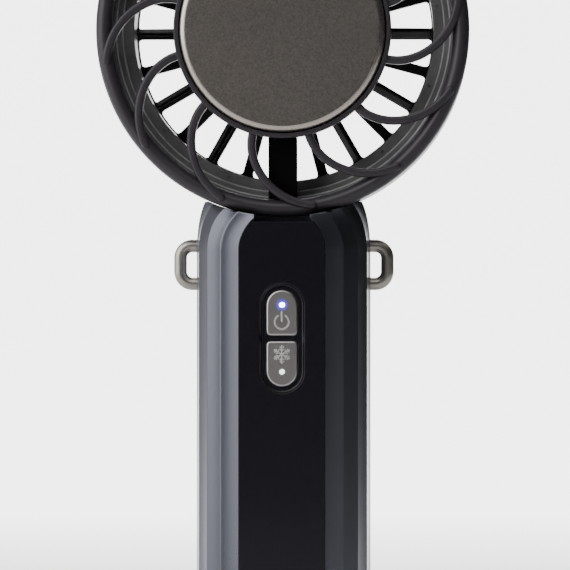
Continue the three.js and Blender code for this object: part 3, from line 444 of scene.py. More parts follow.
def bevel_finish():
    """Diamond-cut bevel: polished and bright, with fine tool lines."""
    f = Finish("cut_bevel", Metallic=1.0)
    line = f.stretched((1.0, 1.0, 14.0), 900.0)
    f.set("Base Color", f.blend(line, (0.66, 0.64, 0.62), (0.82, 0.8, 0.78)))
    f.set("Roughness", 0.24 + line * 0.14)
    return f.bump(line, 0.04, 0.00001).material


def icon_finish():
    """Raised icons: pale satin metal that stands out from the key."""
    f = Finish("icon_metal", Metallic=0.8)
    bead = f.noise(5200.0, 3.0, 0.7)
    f.set("Base Color", f.blend(bead, (0.82, 0.8, 0.78), (0.95, 0.93, 0.91)))
    f.set("Roughness", 0.4 + bead * 0.1)
    return f.bump(bead, 0.05, 0.00001).material


def lip_highlight_finish(c):
    """The duct's lips, painted pale along their edges as a painted highlight."""
    f = Finish("duct_lip_highlight", Specular_IOR_Level=0.8)
    glint_cloud = f.noise(160.0, 4.0)
    f.set("Base Color", f.blend(glint_cloud, darker(c.duct, 1.6), darker(c.duct, 3.0)))
    f.set("Roughness", 0.2 + glint_cloud * 0.15)
    return f.bump(glint_cloud, 0.05, 0.00003).material


def nickel_finish(c):
    """Satin nickel plate with faint waves from polishing."""
    f = Finish("nickel", Metallic=1.0)
    wave = f.noise(420.0, 3.0)
    cloud = f.noise(90.0, 2.0)
    f.set("Base Color", f.blend(cloud, darker(c.loop, 0.88), darker(c.loop, 1.05)))
    f.set("Roughness", 0.32 + wave * 0.12)
    return f.bump(wave, 0.05, 0.00004).material


def steel_finish():
    """Turned steel with fine lines."""
    f = Finish("steel", Metallic=1.0)
    line = f.stretched((30.0, 1.0, 30.0), 160.0)
    f.set("Base Color", f.blend(line, (0.4, 0.4, 0.41), (0.6, 0.6, 0.6)))
    f.set("Roughness", 0.22 + line * 0.2)
    return f.bump(line, 0.08, 0.00002).material


def milled_finish():
    """Milled aluminium with straight cutter lines."""
    f = Finish("aluminium", Metallic=1.0)
    line = f.stretched((1.0, 1.0, 26.0), 260.0)
    f.set("Base Color", f.blend(line, (0.58, 0.59, 0.6), (0.78, 0.79, 0.8)))
    f.set("Roughness", 0.3 + line * 0.2)
    return f.bump(line, 0.12, 0.00003).material


def speckled(name, low, high, scale, rough, **fixed):
    """A material of two close colours in fine speckle, for the pieces inside."""
    f = Finish(name, **fixed)
    speck = f.noise(scale, 3.0)
    f.set("Base Color", f.blend(speck, low, high))
    f.set("Roughness", rough + speck * 0.15)
    return f.bump(speck, 0.1, 0.00005).material


def winding_finish():
    """Enamelled copper wire lying in turns."""
    f = Finish("copper", Metallic=0.9)
    lay = {"Vector": f.here(), "Scale": 900.0, "Distortion": 0.6}
    wave = f.node("ShaderNodeTexWave", {"bands_direction": "Y"}, lay)
    turns = Term(f, wave.outputs["Fac"])
    f.set("Base Color", f.blend(turns, (0.22, 0.07, 0.025), (0.62, 0.26, 0.1)))
    f.set("Roughness", 0.25 + turns * 0.15)
    return f.bump(turns, 0.5, 0.0001).material


def circuit_finish():
    """Green solder resist over faint tracks."""
    f = Finish("circuit", Coat_Weight=0.3, Coat_Roughness=0.2)
    cells = f.node("ShaderNodeTexBrick", None, {"Vector": f.here(), "Scale": 220.0, "Mortar Size": 0.03})
    track = Term(f, cells.outputs["Fac"])
    f.set("Base Color", f.blend(track, (0.008, 0.075, 0.03), (0.03, 0.2, 0.08)))
    f.set("Roughness", 0.35 + track * 0.1)
    return f.bump(track, 0.2, 0.00003).material


def glow_finish(name, core, strength):
    """A lit light pipe glowing in its core colour, with a faint cloud through it."""
    f = Finish(name, Roughness=0.25, Emission_Strength=strength)
    cloud = f.noise(800.0, 2.0)
    f.set("Base Color", f.blend(cloud, darker(core, 0.9), core))
    f.set("Emission Color", f.blend(cloud, darker(core, 0.96), core))
    return f.material


def halo_finish(name, hue, centre, radius, strength):
    """Light spilling from a pipe onto the key round it: brightest at the pipe and gone at the halo's edge."""
    f = Finish(name, Metallic=1.0, Emission_Strength=strength)
    away = f.node("ShaderNodeVectorMath", {"operation": "DISTANCE"}, {0: f.here(), 1: tuple(centre)})
    near = 1.0 - Term(f, away.outputs["Value"]) / radius
    glow = near.maths("MAXIMUM", near, 0.0).power(0.9)
    bead = f.noise(5200.0, 3.0, 0.7)
    f.set("Base Color", f.blend(bead, (0.36, 0.33, 0.335), (0.54, 0.51, 0.5)))
    f.set("Roughness", 0.36 + bead * 0.1)
    f.set("Emission Color", f.blend(glow, (0.0, 0.0, 0.0), hue))
    return f.bump(bead, 0.3, 0.00003).material


# ---------------------------------------------------------------- mesh tools
def make_object(name, points, faces, materials):
    """A mesh object at the origin, cleaned so that its faces point outwards."""
    mesh = bpy.data.meshes.new(name)
    mesh.from_pydata([tuple(p) for p in points], [], faces)
    for material in materials:
        mesh.materials.append(material)
    obj = bpy.data.objects.new(name, mesh)
    bpy.context.scene.collection.objects.link(obj)
    work = bmesh.new()
    work.from_mesh(mesh)
    bmesh.ops.remove_doubles(work, verts=work.verts, dist=1e-7)
    bmesh.ops.recalc_face_normals(work, faces=work.faces)
    work.to_mesh(mesh)
    work.free()
    return obj


def shade(obj, degrees=32):
    """Smooth shading, kept crisp past this angle, with large faces left truly flat."""
    obj.data.shade_smooth()
    obj.data.set_sharp_from_angle(angle=math.radians(degrees))
    flatten = obj.modifiers.new("flatten", "WEIGHTED_NORMAL")
    flatten.keep_sharp = True
    flatten.weight = 100
    return bake(obj)


def bake(obj):
    """Turns the object's modifiers into plain mesh."""
    graph = bpy.context.evaluated_depsgraph_get()
    mesh = bpy.data.meshes.new_from_object(obj.evaluated_get(graph))
    obj.modifiers.clear()
    obj.data = mesh
    return obj


def carve(obj, tool, operation="DIFFERENCE"):
    """Cuts, joins or crosses an object with another, which is used up."""
    cutter = obj.modifiers.new("carve", "BOOLEAN")
    cutter.operation = operation
    cutter.solver = "EXACT"
    cutter.object = tool
    bake(obj)
    bpy.data.objects.remove(tool)
    return obj


def soften(obj, width, steps=2, limit=38):
    """Rounds the sharp edges slightly, as a moulding or a machined part has them."""
    bevel = obj.modifiers.new("soften", "BEVEL")
    bevel.width = width
    bevel.segments = steps
    bevel.limit_method = "ANGLE"
    bevel.angle_limit = math.radians(limit)
    bevel.use_clamp_overlap = True
    return bake(obj)


def seal(obj, reach=0.000004):
    """Welds points that lie together and closes the slits that cutting leaves."""
    work = bmesh.new()
    work.from_mesh(obj.data)
    bmesh.ops.remove_doubles(work, verts=work.verts, dist=reach)
    bmesh.ops.dissolve_degenerate(work, edges=work.edges, dist=reach)
    slits = [edge for edge in work.edges if edge.is_boundary]
    bmesh.ops.holes_fill(work, edges=slits, sides=0)
    bmesh.ops.recalc_face_normals(work, faces=work.faces)
    work.to_mesh(obj.data)
    work.free()
    return obj


def gather(name, parts):
    """Joins several objects into one mesh, keeping their materials."""
    work = bmesh.new()
    materials = []
    for part in parts:
        offset = {i: find_or_add(materials, m) for i, m in enumerate(part.data.materials)}
        first = len(work.faces)
        work.from_mesh(part.data)
        work.faces.ensure_lookup_table()
        for face in work.faces[first:]:
            face.material_index = offset.get(face.material_index, 0)
    mesh = bpy.data.meshes.new(name)
    work.to_mesh(mesh)
    work.free()
    for material in materials:
        mesh.materials.append(material)
    obj = bpy.data.objects.new(name, mesh)
    bpy.context.scene.collection.objects.link(obj)
    for part in parts:
        bpy.data.objects.remove(part)
    return obj


def find_or_add(items, item):
    """The place of an item in a list, added if it is missing."""
    if item not in items:
        items.append(item)
    return items.index(item)


def rings(name, loops, material):
    """Skins loops of equal count and caps both ends."""
    size = len(loops[0])
    faces = []
    for level in range(len(loops) - 1):
        low, high = level * size, (level + 1) * size
        for i in range(size):
            after = (i + 1) % size
            faces.append((low + i, low + after, high + after, high + i))
    faces.append(tuple(reversed(range(size))))
    faces.append(tuple(range((len(loops) - 1) * size, len(loops) * size)))
    return make_object(name, [p for loop in loops for p in loop], faces, [material])


def turned(name, profile, material, sides=160, centre=HEAD_CENTRE, axis="Y"):
    """A (radius, along) profile turned about an axis; it closes on itself or ends on the axis."""
    loops = []
    for step in range(sides):
        turn = 2 * math.pi * step / sides
        spoke = []
        for radius, along in profile:
            a, b = radius * math.cos(turn), radius * math.sin(turn)
            places = {"X": (along, a, b), "Y": (a, along, b), "Z": (a, b, along)}
            spoke.append(centre + Vector(places[axis]))
        loops.append(spoke)
    size = len(profile)
    on_axis = profile[0][0] == 0
    faces = []
    for step in range(sides):
        here, there = step * size, ((step + 1) % sides) * size
        for i in range(size - 1 if on_axis else size):
            after = (i + 1) % size
            face = (here + i, here + after, there + after, there + i)
            if profile[i][0] == 0:
                face = (here + i, here + after, there + after)
            elif profile[after][0] == 0:
                face = (here + i, here + after, there + i)
            faces.append(face)
    return make_object(name, [p for spoke in loops for p in spoke], faces, [material])


def rounded(corners, steps=4):
    """Rounds the corners of a closed outline. A corner is (x, y) or (x, y, setback)."""
    result = []
    size = len(corners)
    for i, corner in enumerate(corners):
        here = Vector(corner[:2])
        setback = corner[2] if len(corner) > 2 else 0
        if setback <= 0:
            result.append(tuple(here))
            continue
        before = Vector(corners[i - 1][:2]) - here
        after = Vector(corners[(i + 1) % size][:2]) - here
        start = here + before.normalized() * min(setback, before.length * 0.49)
        end = here + after.normalized() * min(setback, after.length * 0.49)
        for step in range(steps + 1):
            t = step / steps
            result.append(tuple(start * (1 - t) ** 2 + here * 2 * t * (1 - t) + end * t * t))
    return result


def grown(outline, margin):
    """An outline, counter-clockwise, moved outwards by a margin."""
    size = len(outline)
    result = []
    for i in range(size):
        before, here, after = (Vector(outline[(i + k) % size]) for k in (-1, 0, 1))
        ahead = (here - before).normalized() + (after - here).normalized()
        ahead.normalize()
        side = Vector((ahead.y, -ahead.x))
        cosine = max(0.4, side.dot(Vector(((after - here).normalized().y, -(after - here).normalized().x))))
        result.append(tuple(here + side * margin / cosine))
    return result


def slab(name, outline, front, back, material, bevel=0.0, steps=3, bevel_material=None, back_bevel=0.0):
    """An outline of (x, z), counter-clockwise from the front, made solid with a rounded front edge."""
    levels = []
    if bevel > 0:
        for step in range(steps + 1):
            turn = math.pi / 2 * (1 - step / steps)
            levels.append((front + bevel * (1 - math.sin(turn)), -bevel * (1 - math.cos(turn))))
    else:
        levels.append((front, 0.0))
    if back_bevel > 0:
        levels += [(back - back_bevel, 0.0), (back, -back_bevel)]
    else:
        levels.append((back, 0.0))
    loops = [[(x, y, z) for x, z in grown(outline, margin)] for y, margin in levels]
    obj = rings(name, loops, material)
    if bevel_material:
        obj.data.materials.append(bevel_material)
        for face in obj.data.polygons:
            nearest = min(obj.data.vertices[v].co.y for v in face.vertices)
            deepest = max(obj.data.vertices[v].co.y for v in face.vertices)
            if nearest < front + bevel and deepest > front + 1e-6 and deepest < front + bevel + 1e-6:
                face.material_index = 1
    return obj


def cylinder(radius, start, end):
    """The profile of a plain cylinder."""
    return [(0, start), (radius, start), (radius, end), (0, end)]


def rod(radius, start, end, x, z, sides=48):
    """A cutting rod along Y."""
    return turned("tool", cylinder(radius, start, end), None, sides, Vector((x, 0, z)))


def block(x0, x1, y0, y1, z0, z1, material=None, name="tool"):
    """A box between two corners."""
    loop = [(x0, y0), (x1, y0), (x1, y1), (x0, y1)]
    return rings(name, [[(x, y, z) for x, y in loop] for z in (z0, z1)], material)


def sweep(name, route, radius, material, sides=28):
    """Round bar along a route that lies in the X-Z plane."""
    loops = []
    for i, point in enumerate(route):
        ahead = (route[min(i + 1, len(route) - 1)] - route[max(i - 1, 0)]).normalized()
        side = Vector((ahead.z, 0, -ahead.x))
        ring = []
        for step in range(sides):
            turn = 2 * math.pi * step / sides
            ring.append(point + radius * (side * math.cos(turn) + Vector((0, 1, 0)) * math.sin(turn)))
        loops.append(ring)
    return rings(name, loops, material)


def polar(radius, turn):
    """A point at a radius and an angle, as (x, z)."""
    return Vector((radius * math.cos(turn), radius * math.sin(turn)))


def slot_outline(width, height, centre, steps=14):
    """A slot with round ends, long either way."""
    radius = min(width, height) / 2
    points = []
    for step in range(4 * steps):
        turn = (step + 0.5) * math.pi / (2 * steps)
        x = math.copysign(width / 2 - radius, math.cos(turn)) + radius * math.cos(turn)
        z = math.copysign(height / 2 - radius, math.sin(turn)) + radius * math.sin(turn)
        points.append((centre[0] + x, centre[1] + z))
    return points


# ---------------------------------------------------------------- geometry nodes
def copies_tree():
    """A node tree that turns copies of its input about a Y axis through a centre."""
    tree = bpy.data.node_groups.get("copies_round_axis")
    if tree:
        return tree
    tree = bpy.data.node_groups.new("copies_round_axis", "GeometryNodeTree")
    face = tree.interface
    face.new_socket("Geometry", in_out="INPUT", socket_type="NodeSocketGeometry")
    face.new_socket("Count", in_out="INPUT", socket_type="NodeSocketInt")
    face.new_socket("First", in_out="INPUT", socket_type="NodeSocketFloat")
    face.new_socket("Step", in_out="INPUT", socket_type="NodeSocketFloat")
    face.new_socket("Centre", in_out="INPUT", socket_type="NodeSocketVector")
    face.new_socket("Finish", in_out="INPUT", socket_type="NodeSocketMaterial")
    face.new_socket("Geometry", in_out="OUTPUT", socket_type="NodeSocketGeometry")
    source = tree.nodes.new("NodeGroupInput")
    sink = tree.nodes.new("NodeGroupOutput")

    def add(kind, **settings):
        node = tree.nodes.new(kind)
        for key, value in settings.items():
            setattr(node, key, value)
        return node

    def link(out_socket, in_socket):
        tree.links.new(out_socket, in_socket)

    points = add("GeometryNodePoints")
    number = add("GeometryNodeInputIndex")
    turn = add("ShaderNodeMath", operation="MULTIPLY_ADD")
    away = add("ShaderNodeMath", operation="MULTIPLY")
    away.inputs[1].default_value = -1.0
    euler = add("ShaderNodeCombineXYZ")
    place = add("GeometryNodeInstanceOnPoints")
    real = add("GeometryNodeRealizeInstances")
    paint = add("GeometryNodeSetMaterial")
    link(source.outputs["Count"], points.inputs["Count"])
    link(source.outputs["Centre"], points.inputs["Position"])
    link(number.outputs[0], turn.inputs[0])
    link(source.outputs["Step"], turn.inputs[1])
    link(source.outputs["First"], turn.inputs[2])
    link(turn.outputs[0], away.inputs[0])
    link(away.outputs[0], euler.inputs["Y"])
    link(points.outputs[0], place.inputs["Points"])
    link(source.outputs["Geometry"], place.inputs["Instance"])
    link(euler.outputs[0], place.inputs["Rotation"])
    link(place.outputs[0], real.inputs[0])
    link(real.outputs[0], paint.inputs["Geometry"])
    link(source.outputs["Finish"], paint.inputs["Material"])
    link(paint.outputs[0], sink.inputs[0])
    return tree


def copies(template, number, first, step, centre, material):
    """Turns a template about a centre with Geometry Nodes and leaves a plain mesh."""
    tree = copies_tree()
    nodes = template.modifiers.new("copies", "NODES")
    nodes.node_group = tree
    values = {"Count": number, "First": first, "Step": step, "Centre": tuple(centre), "Finish": material}
    for item in tree.interface.items_tree:
        if item.in_out == "INPUT" and item.name in values:
            nodes[item.identifier] = values[item.name]
    return bake(template)


# ---------------------------------------------------------------- handle shape
def shoulder_start(s):
    """Height at which the handle starts to round in."""
    return HEAD_CENTRE.z - HEAD_RADIUS - s.shoulder_drop


def climb(s, z):
    """0 below the shoulder, rising along a quarter ellipse."""
    part = max(0.0, (z - shoulder_start(s)) / s.shoulder_height)
    return 1 - math.sqrt(max(0.0, 1 - part * part))


def face_half(s, z):
    """Half width of the flat front face at a height."""
    return s.face_width / 2 * (1 - s.face_shoulder * climb(s, z))


def corner_line(s, z, inset, hollow, steps):
    """Points from the front face round to the side face: (x, depth, setback)."""
    half_width, half_depth = FRONT_HIGH.x, -FRONT_LOW.y
    span_x = half_width - s.face_width / 2
    span_y = half_depth - s.side_width / 2

    def arris(k):
        turn = math.pi / 2 * (k / s.flutes) ** s.flute_bias
        across = s.face_width / 2 + span_x * math.sin(turn)
        return Vector((across, s.side_width / 2 + span_y * math.cos(turn)))

    line = []
    for k in range(s.flutes):
        start, end = arris(k), arris(k + 1)
        inward = Vector((end.y - start.y, start.x - end.x)).normalized()
        for step in range(steps):
            t = step / steps
            point = start.lerp(end, t) + inward * hollow * 4 * t * (1 - t)
            line.append((point, (k + t) / s.flutes, s.arris_round if step == 0 else 0.0))
    line.append((arris(s.flutes), 1.0, s.arris_round))
    result = []
    for point, part, setback in line:
        drawn = (s.face_shoulder * s.face_width / 2) * (1 - part) + s.side_shoulder * part
        x = max(point.x - drawn * climb(s, z) - inset, 0.00002 + 0.00002 * part)
        result.append((x, point.y - inset, setback))
    return result


def handle_loop(s, z, inset=0.0, hollow=None, steps=8):
    """The whole handle outline at one height."""
    hollow = s.flute_hollow if hollow is None else hollow
    corner = corner_line(s, z, inset, hollow, steps)
    back = list(reversed(corner))
    outline = []
    for line, sign_x, sign_y in ((corner, 1, -1), (back, 1, 1), (corner, -1, 1), (back, -1, -1)):
        outline += [(sign_x * x, sign_y * y, setback) for x, y, setback in line]
    return [Vector((x, y, z)) for x, y in rounded(outline, 3)]


def handle_solid(s, bottom):
    """The outer form of the handle, cut by the saddle that the head rests in."""
    start = shoulder_start(s)
    heights = [bottom, start]
    levels = 18
    heights += [start + s.shoulder_height * s.shoulder_reach * (i + 1) / levels for i in range(levels)]
    body = rings("handle", [handle_loop(s, z) for z in heights], None)
    saddle = turned("tool", [(0, FRONT_LOW.y * 2), (HEAD_RADIUS + s.saddle_gap, FRONT_LOW.y * 2),
                             (HEAD_RADIUS + s.saddle_gap, REAR_HIGH.y * 2), (0, REAR_HIGH.y * 2)], None, 360)
    return carve(body, saddle)


def handle_hollow(s):
    """The space inside the handle."""
    front = PANEL_HIGH.y + 0.0003 + 0.0018
    top = HEAD_CENTRE.z - HEAD_RADIUS - 0.009
    hollow = rings("tool", [handle_loop(s, z, s.wall, 0.0, 1) for z in (-0.001, top)], None)
    clip = block(-0.1, 0.1, front, REAR_HIGH.y - s.wall, -0.002, top + 0.001)
    return carve(hollow, clip, "INTERSECT")


def loop_pockets(obj):
    """Cuts the holes for the strap loops' feet and the pockets for their anchor plates."""
    bar = (LOOP_HIGH.y - LOOP_LOW.y) / 2 - 0.0003
    middle = (LOOP_LOW.z + LOOP_HIGH.z) / 2
    half = (LOOP_HIGH.z - LOOP_LOW.z) / 2
    for side in (-1, 1):
        inner, outer = LOOP_LOW.x - 0.0005, FRONT_HIGH.x - 0.002
        low, high = sorted((side * inner, side * outer))
        depth, rise = bar + 0.0006, half + 0.0003
        carve(obj, block(low, high, -depth, depth, middle - rise, middle + rise))
        for end in (-1, 1):
            z = middle + end * (half - bar)
            reach = sorted((side * inner, side * 0.03))
            hole = cylinder(bar + 0.0001, *reach)
            carve(obj, turned("tool", hole, None, 48, Vector((0, 0, z)), "X"))
    return obj


def panel_loop(s, z, margin, front, back):
    """The face panel's outline at a height, in plan."""
    half = face_half(s, z) + margin
    return [(half, front, z), (half, back, z), (-half, back, z), (-half, front, z)]


def panel_solid(s, bottom, top, margin, front, back):
    """The space of the face panel, arched at its top."""
    start = shoulder_start(s)
    levels = 16
    heights = [bottom] + [start + (top - start) * i / levels for i in range(levels + 1)]
    return rings("tool", [panel_loop(s, z, margin, front, back) for z in heights], None)


def button_outline(s, side, margin=0.0):
    """A button's outline: one round end and two small corners."""
    centre = button_centre(s, side)
    radius = s.width / 2
    top = s.height / 2 - radius
    arc = [polar(radius, math.pi * i / 24) + Vector((0, top)) for i in range(25)]
    low = -s.height / 2
    square = [(-radius, low, s.near_corner), (radius, low, s.near_corner)]
    feet = rounded([tuple(arc[-1]), *square, tuple(arc[0])], 6)[1:-1]
    outline = [(p[0], centre + side * p[1]) for p in [tuple(q) for q in arc] + list(feet)]
    if side < 0:
        outline.reverse()
    return grown(outline, margin) if margin else outline


def button_centre(s, side):
    """Height of a button's middle: side is +1 for power and -1 for cooling."""
    middle = (FRAME_LOW.z + FRAME_HIGH.z) / 2
    return middle + side * (s.height + s.spacing) / 2


# ---------------------------------------------------------------- studio
# The backdrop's bend: where it starts behind the object, and its radius.
BEND_START = 1.5
BEND = 3.0
# Area lights as name, place, size and power.
LIGHTS = (
    ("key_left", (-1.7, -0.9, 0.9), (2.6, 2.2), 29.0),
    ("top_soft", (-0.5, -1.2, 1.7), (1.6, 1.0), 6.5),
    ("rim_right", (1.5, 0.9, 0.5), (0.35, 1.2), 3.0),
)
# Black flags seen only in reflections, as name, direction from the front in degrees, width and distance.
FLAGS = (
    ("flag_front", 2.0, 64.0, 0.9),
    ("flag_right", 90.0, 112.0, 0.65),
)
FLAG_HEIGHTS = (0.002, 0.75)


def build_stage(scene):
    """Camera, backdrop and lights."""
    s, c = scene.fan_studio, scene.fan_colours
    camera = bpy.data.objects.new("camera", bpy.data.cameras.new("camera"))
    camera.data.sensor_width = 36.0
    camera.data.lens = 36.0 * s.distance / s.view_width
    camera.data.clip_start = 0.01
    aim = Vector((s.aim_side, 0, s.aim_height))
    camera.location = aim + Vector((math.sin(s.turn), -math.cos(s.turn), 0)) * s.distance
    camera.rotation_euler = (aim - camera.location).to_track_quat("-Z", "Y").to_euler()
    scene.collection.objects.link(camera)
    scene.camera = camera

    paper = Finish("studio_paper", Roughness=0.9)
    cloud = paper.noise(3.0, 2.0)
    paper.set("Base Color", paper.blend(cloud, darker(c.backdrop, 0.985), tuple(c.backdrop)))
    place = paper.node("ShaderNodeSeparateXYZ", None, {0: paper.here()})
    behind = paper.node("ShaderNodeMapRange", None, {
        "Value": place.outputs[1], "From Min": s.lit_from, "From Max": s.lit_from + 0.9, "To Max": 1.0,
    })
    aside = Term(paper, place.outputs[0])
    within = paper.node("ShaderNodeMapRange", None, {
        "Value": aside.maths("ABSOLUTE", aside), "From Min": s.lit_width / 2, "From Max": s.lit_width,
        "To Min": 1.0, "To Max": 0.0,
    })
    lit = Term(paper, behind.outputs[0]) * Term(paper, within.outputs[0])
    paper.set("Emission Color", paper.blend(lit, (0.0, 0.0, 0.0), (1.0, 0.996, 0.99)))
    paper.shader.inputs["Emission Strength"].default_value = s.backdrop_light
    turns = [math.pi / 2 * i / 24 for i in range(25)]
    bend = [(BEND_START + BEND * math.sin(a), BEND * (1 - math.cos(a))) for a in turns]
    profile = [(-6.0, 0.0)] + bend + [(BEND_START + BEND, 8.0)]
    points = [(x, y, z - 0.0002) for x in (-9.0, 9.0) for y, z in profile]
    size = len(profile)
    faces = [(i, i + 1, i + 1 + size, i + size) for i in range(size - 1)]
    floor = make_object("backdrop", points, faces, [paper.material])
    shade(floor, 60)

    world = bpy.data.worlds.new("studio")
    world.use_nodes = True
    world.node_tree.nodes["Background"].inputs["Color"].default_value = (0.9, 0.9, 0.9, 1.0)
    world.node_tree.nodes["Background"].inputs["Strength"].default_value = s.room_light
    scene.world = world

    for name, place, size, power in LIGHTS:
        light = bpy.data.objects.new(name, bpy.data.lights.new(name, "AREA"))
        light.data.shape = "RECTANGLE"
        light.data.size, light.data.size_y = size
        light.data.energy = power
        light.location = place
        light.rotation_euler = (Vector((0, 0, 0.12)) - Vector(place)).to_track_quat("-Z", "Y").to_euler()
        scene.collection.objects.link(light)

    black = Finish("flag_cloth", Roughness=0.95)
    weave = black.noise(40.0, 2.0)
    black.set("Base Color", black.blend(weave, (0.004, 0.004, 0.005), (0.008, 0.008, 0.009)))
    for name, turn, width, reach in FLAGS:
        start, end = math.radians(turn - width / 2), math.radians(turn + width / 2)
        steps = 12
        spokes = [start + (end - start) * i / steps for i in range(steps + 1)]
        points = [(reach * math.sin(a), -reach * math.cos(a), z) for z in FLAG_HEIGHTS for a in spokes]
        faces = [(i, i + 1, i + steps + 2, i + steps + 1) for i in range(steps)]
        flag = make_object(name, points, faces, [black.material])
        flag.visible_camera = False


FINISHES = {}


def settle(obj, body, slot, *nodes, crisp=32):
    """Shades a finished piece, hangs it on its body and lets it stand for its frame nodes."""
    shade(obj, crisp)
    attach(obj, body)
    if nodes:
        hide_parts(*nodes)
    return obj


def paint_saddle_shade(obj, s):
    """Gives the saddle's curved face, which lies in the shade of the head, the second material, black, as
    painted shade.
    """
    reach = HEAD_RADIUS + s.saddle_gap + 0.00022
    for face in obj.data.polygons:
        away = Vector((face.center.x, 0, face.center.z - HEAD_CENTRE.z))
        if away.length < reach and face.normal.dot(away) < -0.35 * away.length:
            face.material_index = 1
    return obj


def paint(obj, *materials):
    """Gives an object its materials."""
    obj.data.materials.clear()
    for material in materials:
        obj.data.materials.append(material)
    return obj


class Maker(bpy.types.Operator):
    """Shared by all the operators that make pieces."""

    bl_options = {"REGISTER", "UNDO"}


class FAN_OT_stage(Maker):
    """Makes the camera, the backdrop, the lights and the flags."""

    bl_idname = "fan.stage"
    bl_label = "Studio"

    def execute(self, context):
        build_stage(context.scene)
        return {"FINISHED"}


class FAN_OT_finishes(Maker):
    """Makes every material and gives the frame's own nodes theirs."""

    bl_idname = "fan.finishes"
    bl_label = "Finishes"

    def execute(self, context):
        c = context.scene.fan_colours
        FINISHES.update({
            "anodised_body": anodised_finish(c),
            "face_panel": face_finish(c),
            "guard_plastic": guard_finish(c),
            "duct_plastic": duct_finish(c),
            "black_plastic": black_finish(),
            "blasted_plate": blasted_finish(c),
            "plate_rim_highlight": rim_highlight_finish(c),
            "button_metal": button_finish(c),
            "cut_bevel": bevel_finish(),
            "icon_metal": icon_finish(),
            "duct_lip_highlight": lip_highlight_finish(c),
            "nickel": nickel_finish(c),
            "steel": steel_finish(),
            "aluminium": milled_finish(),
            "copper": winding_finish(),
            "circuit": circuit_finish(),
            "ceramic": speckled("ceramic", (0.7, 0.68, 0.63), (0.8, 0.79, 0.75), 900.0, 0.55),
            "soft_pad": speckled("soft_pad", (0.2, 0.24, 0.28), (0.3, 0.34, 0.38), 1200.0, 0.7),
            "magnet": speckled("magnet", (0.03, 0.03, 0.033), (0.07, 0.07, 0.075), 1500.0, 0.4, Metallic=0.6),
            "cell_wrap": speckled("cell_wrap", (0.02, 0.09, 0.24), (0.04, 0.13, 0.3), 300.0, 0.35,
                                  Coat_Weight=0.5),
            "clear_pipe": speckled("clear_pipe", (0.7, 0.74, 0.85), (0.8, 0.83, 0.9), 500.0, 0.1),
        })
        slots = {part["node"]: part["material_slot"] for part in frame["record"]["subparts"]}
        for node, obj in frame["nodes"].items():
            for place in obj.material_slots:
                place.material = FINISHES[slots[node]]
        return {"FINISHED"}


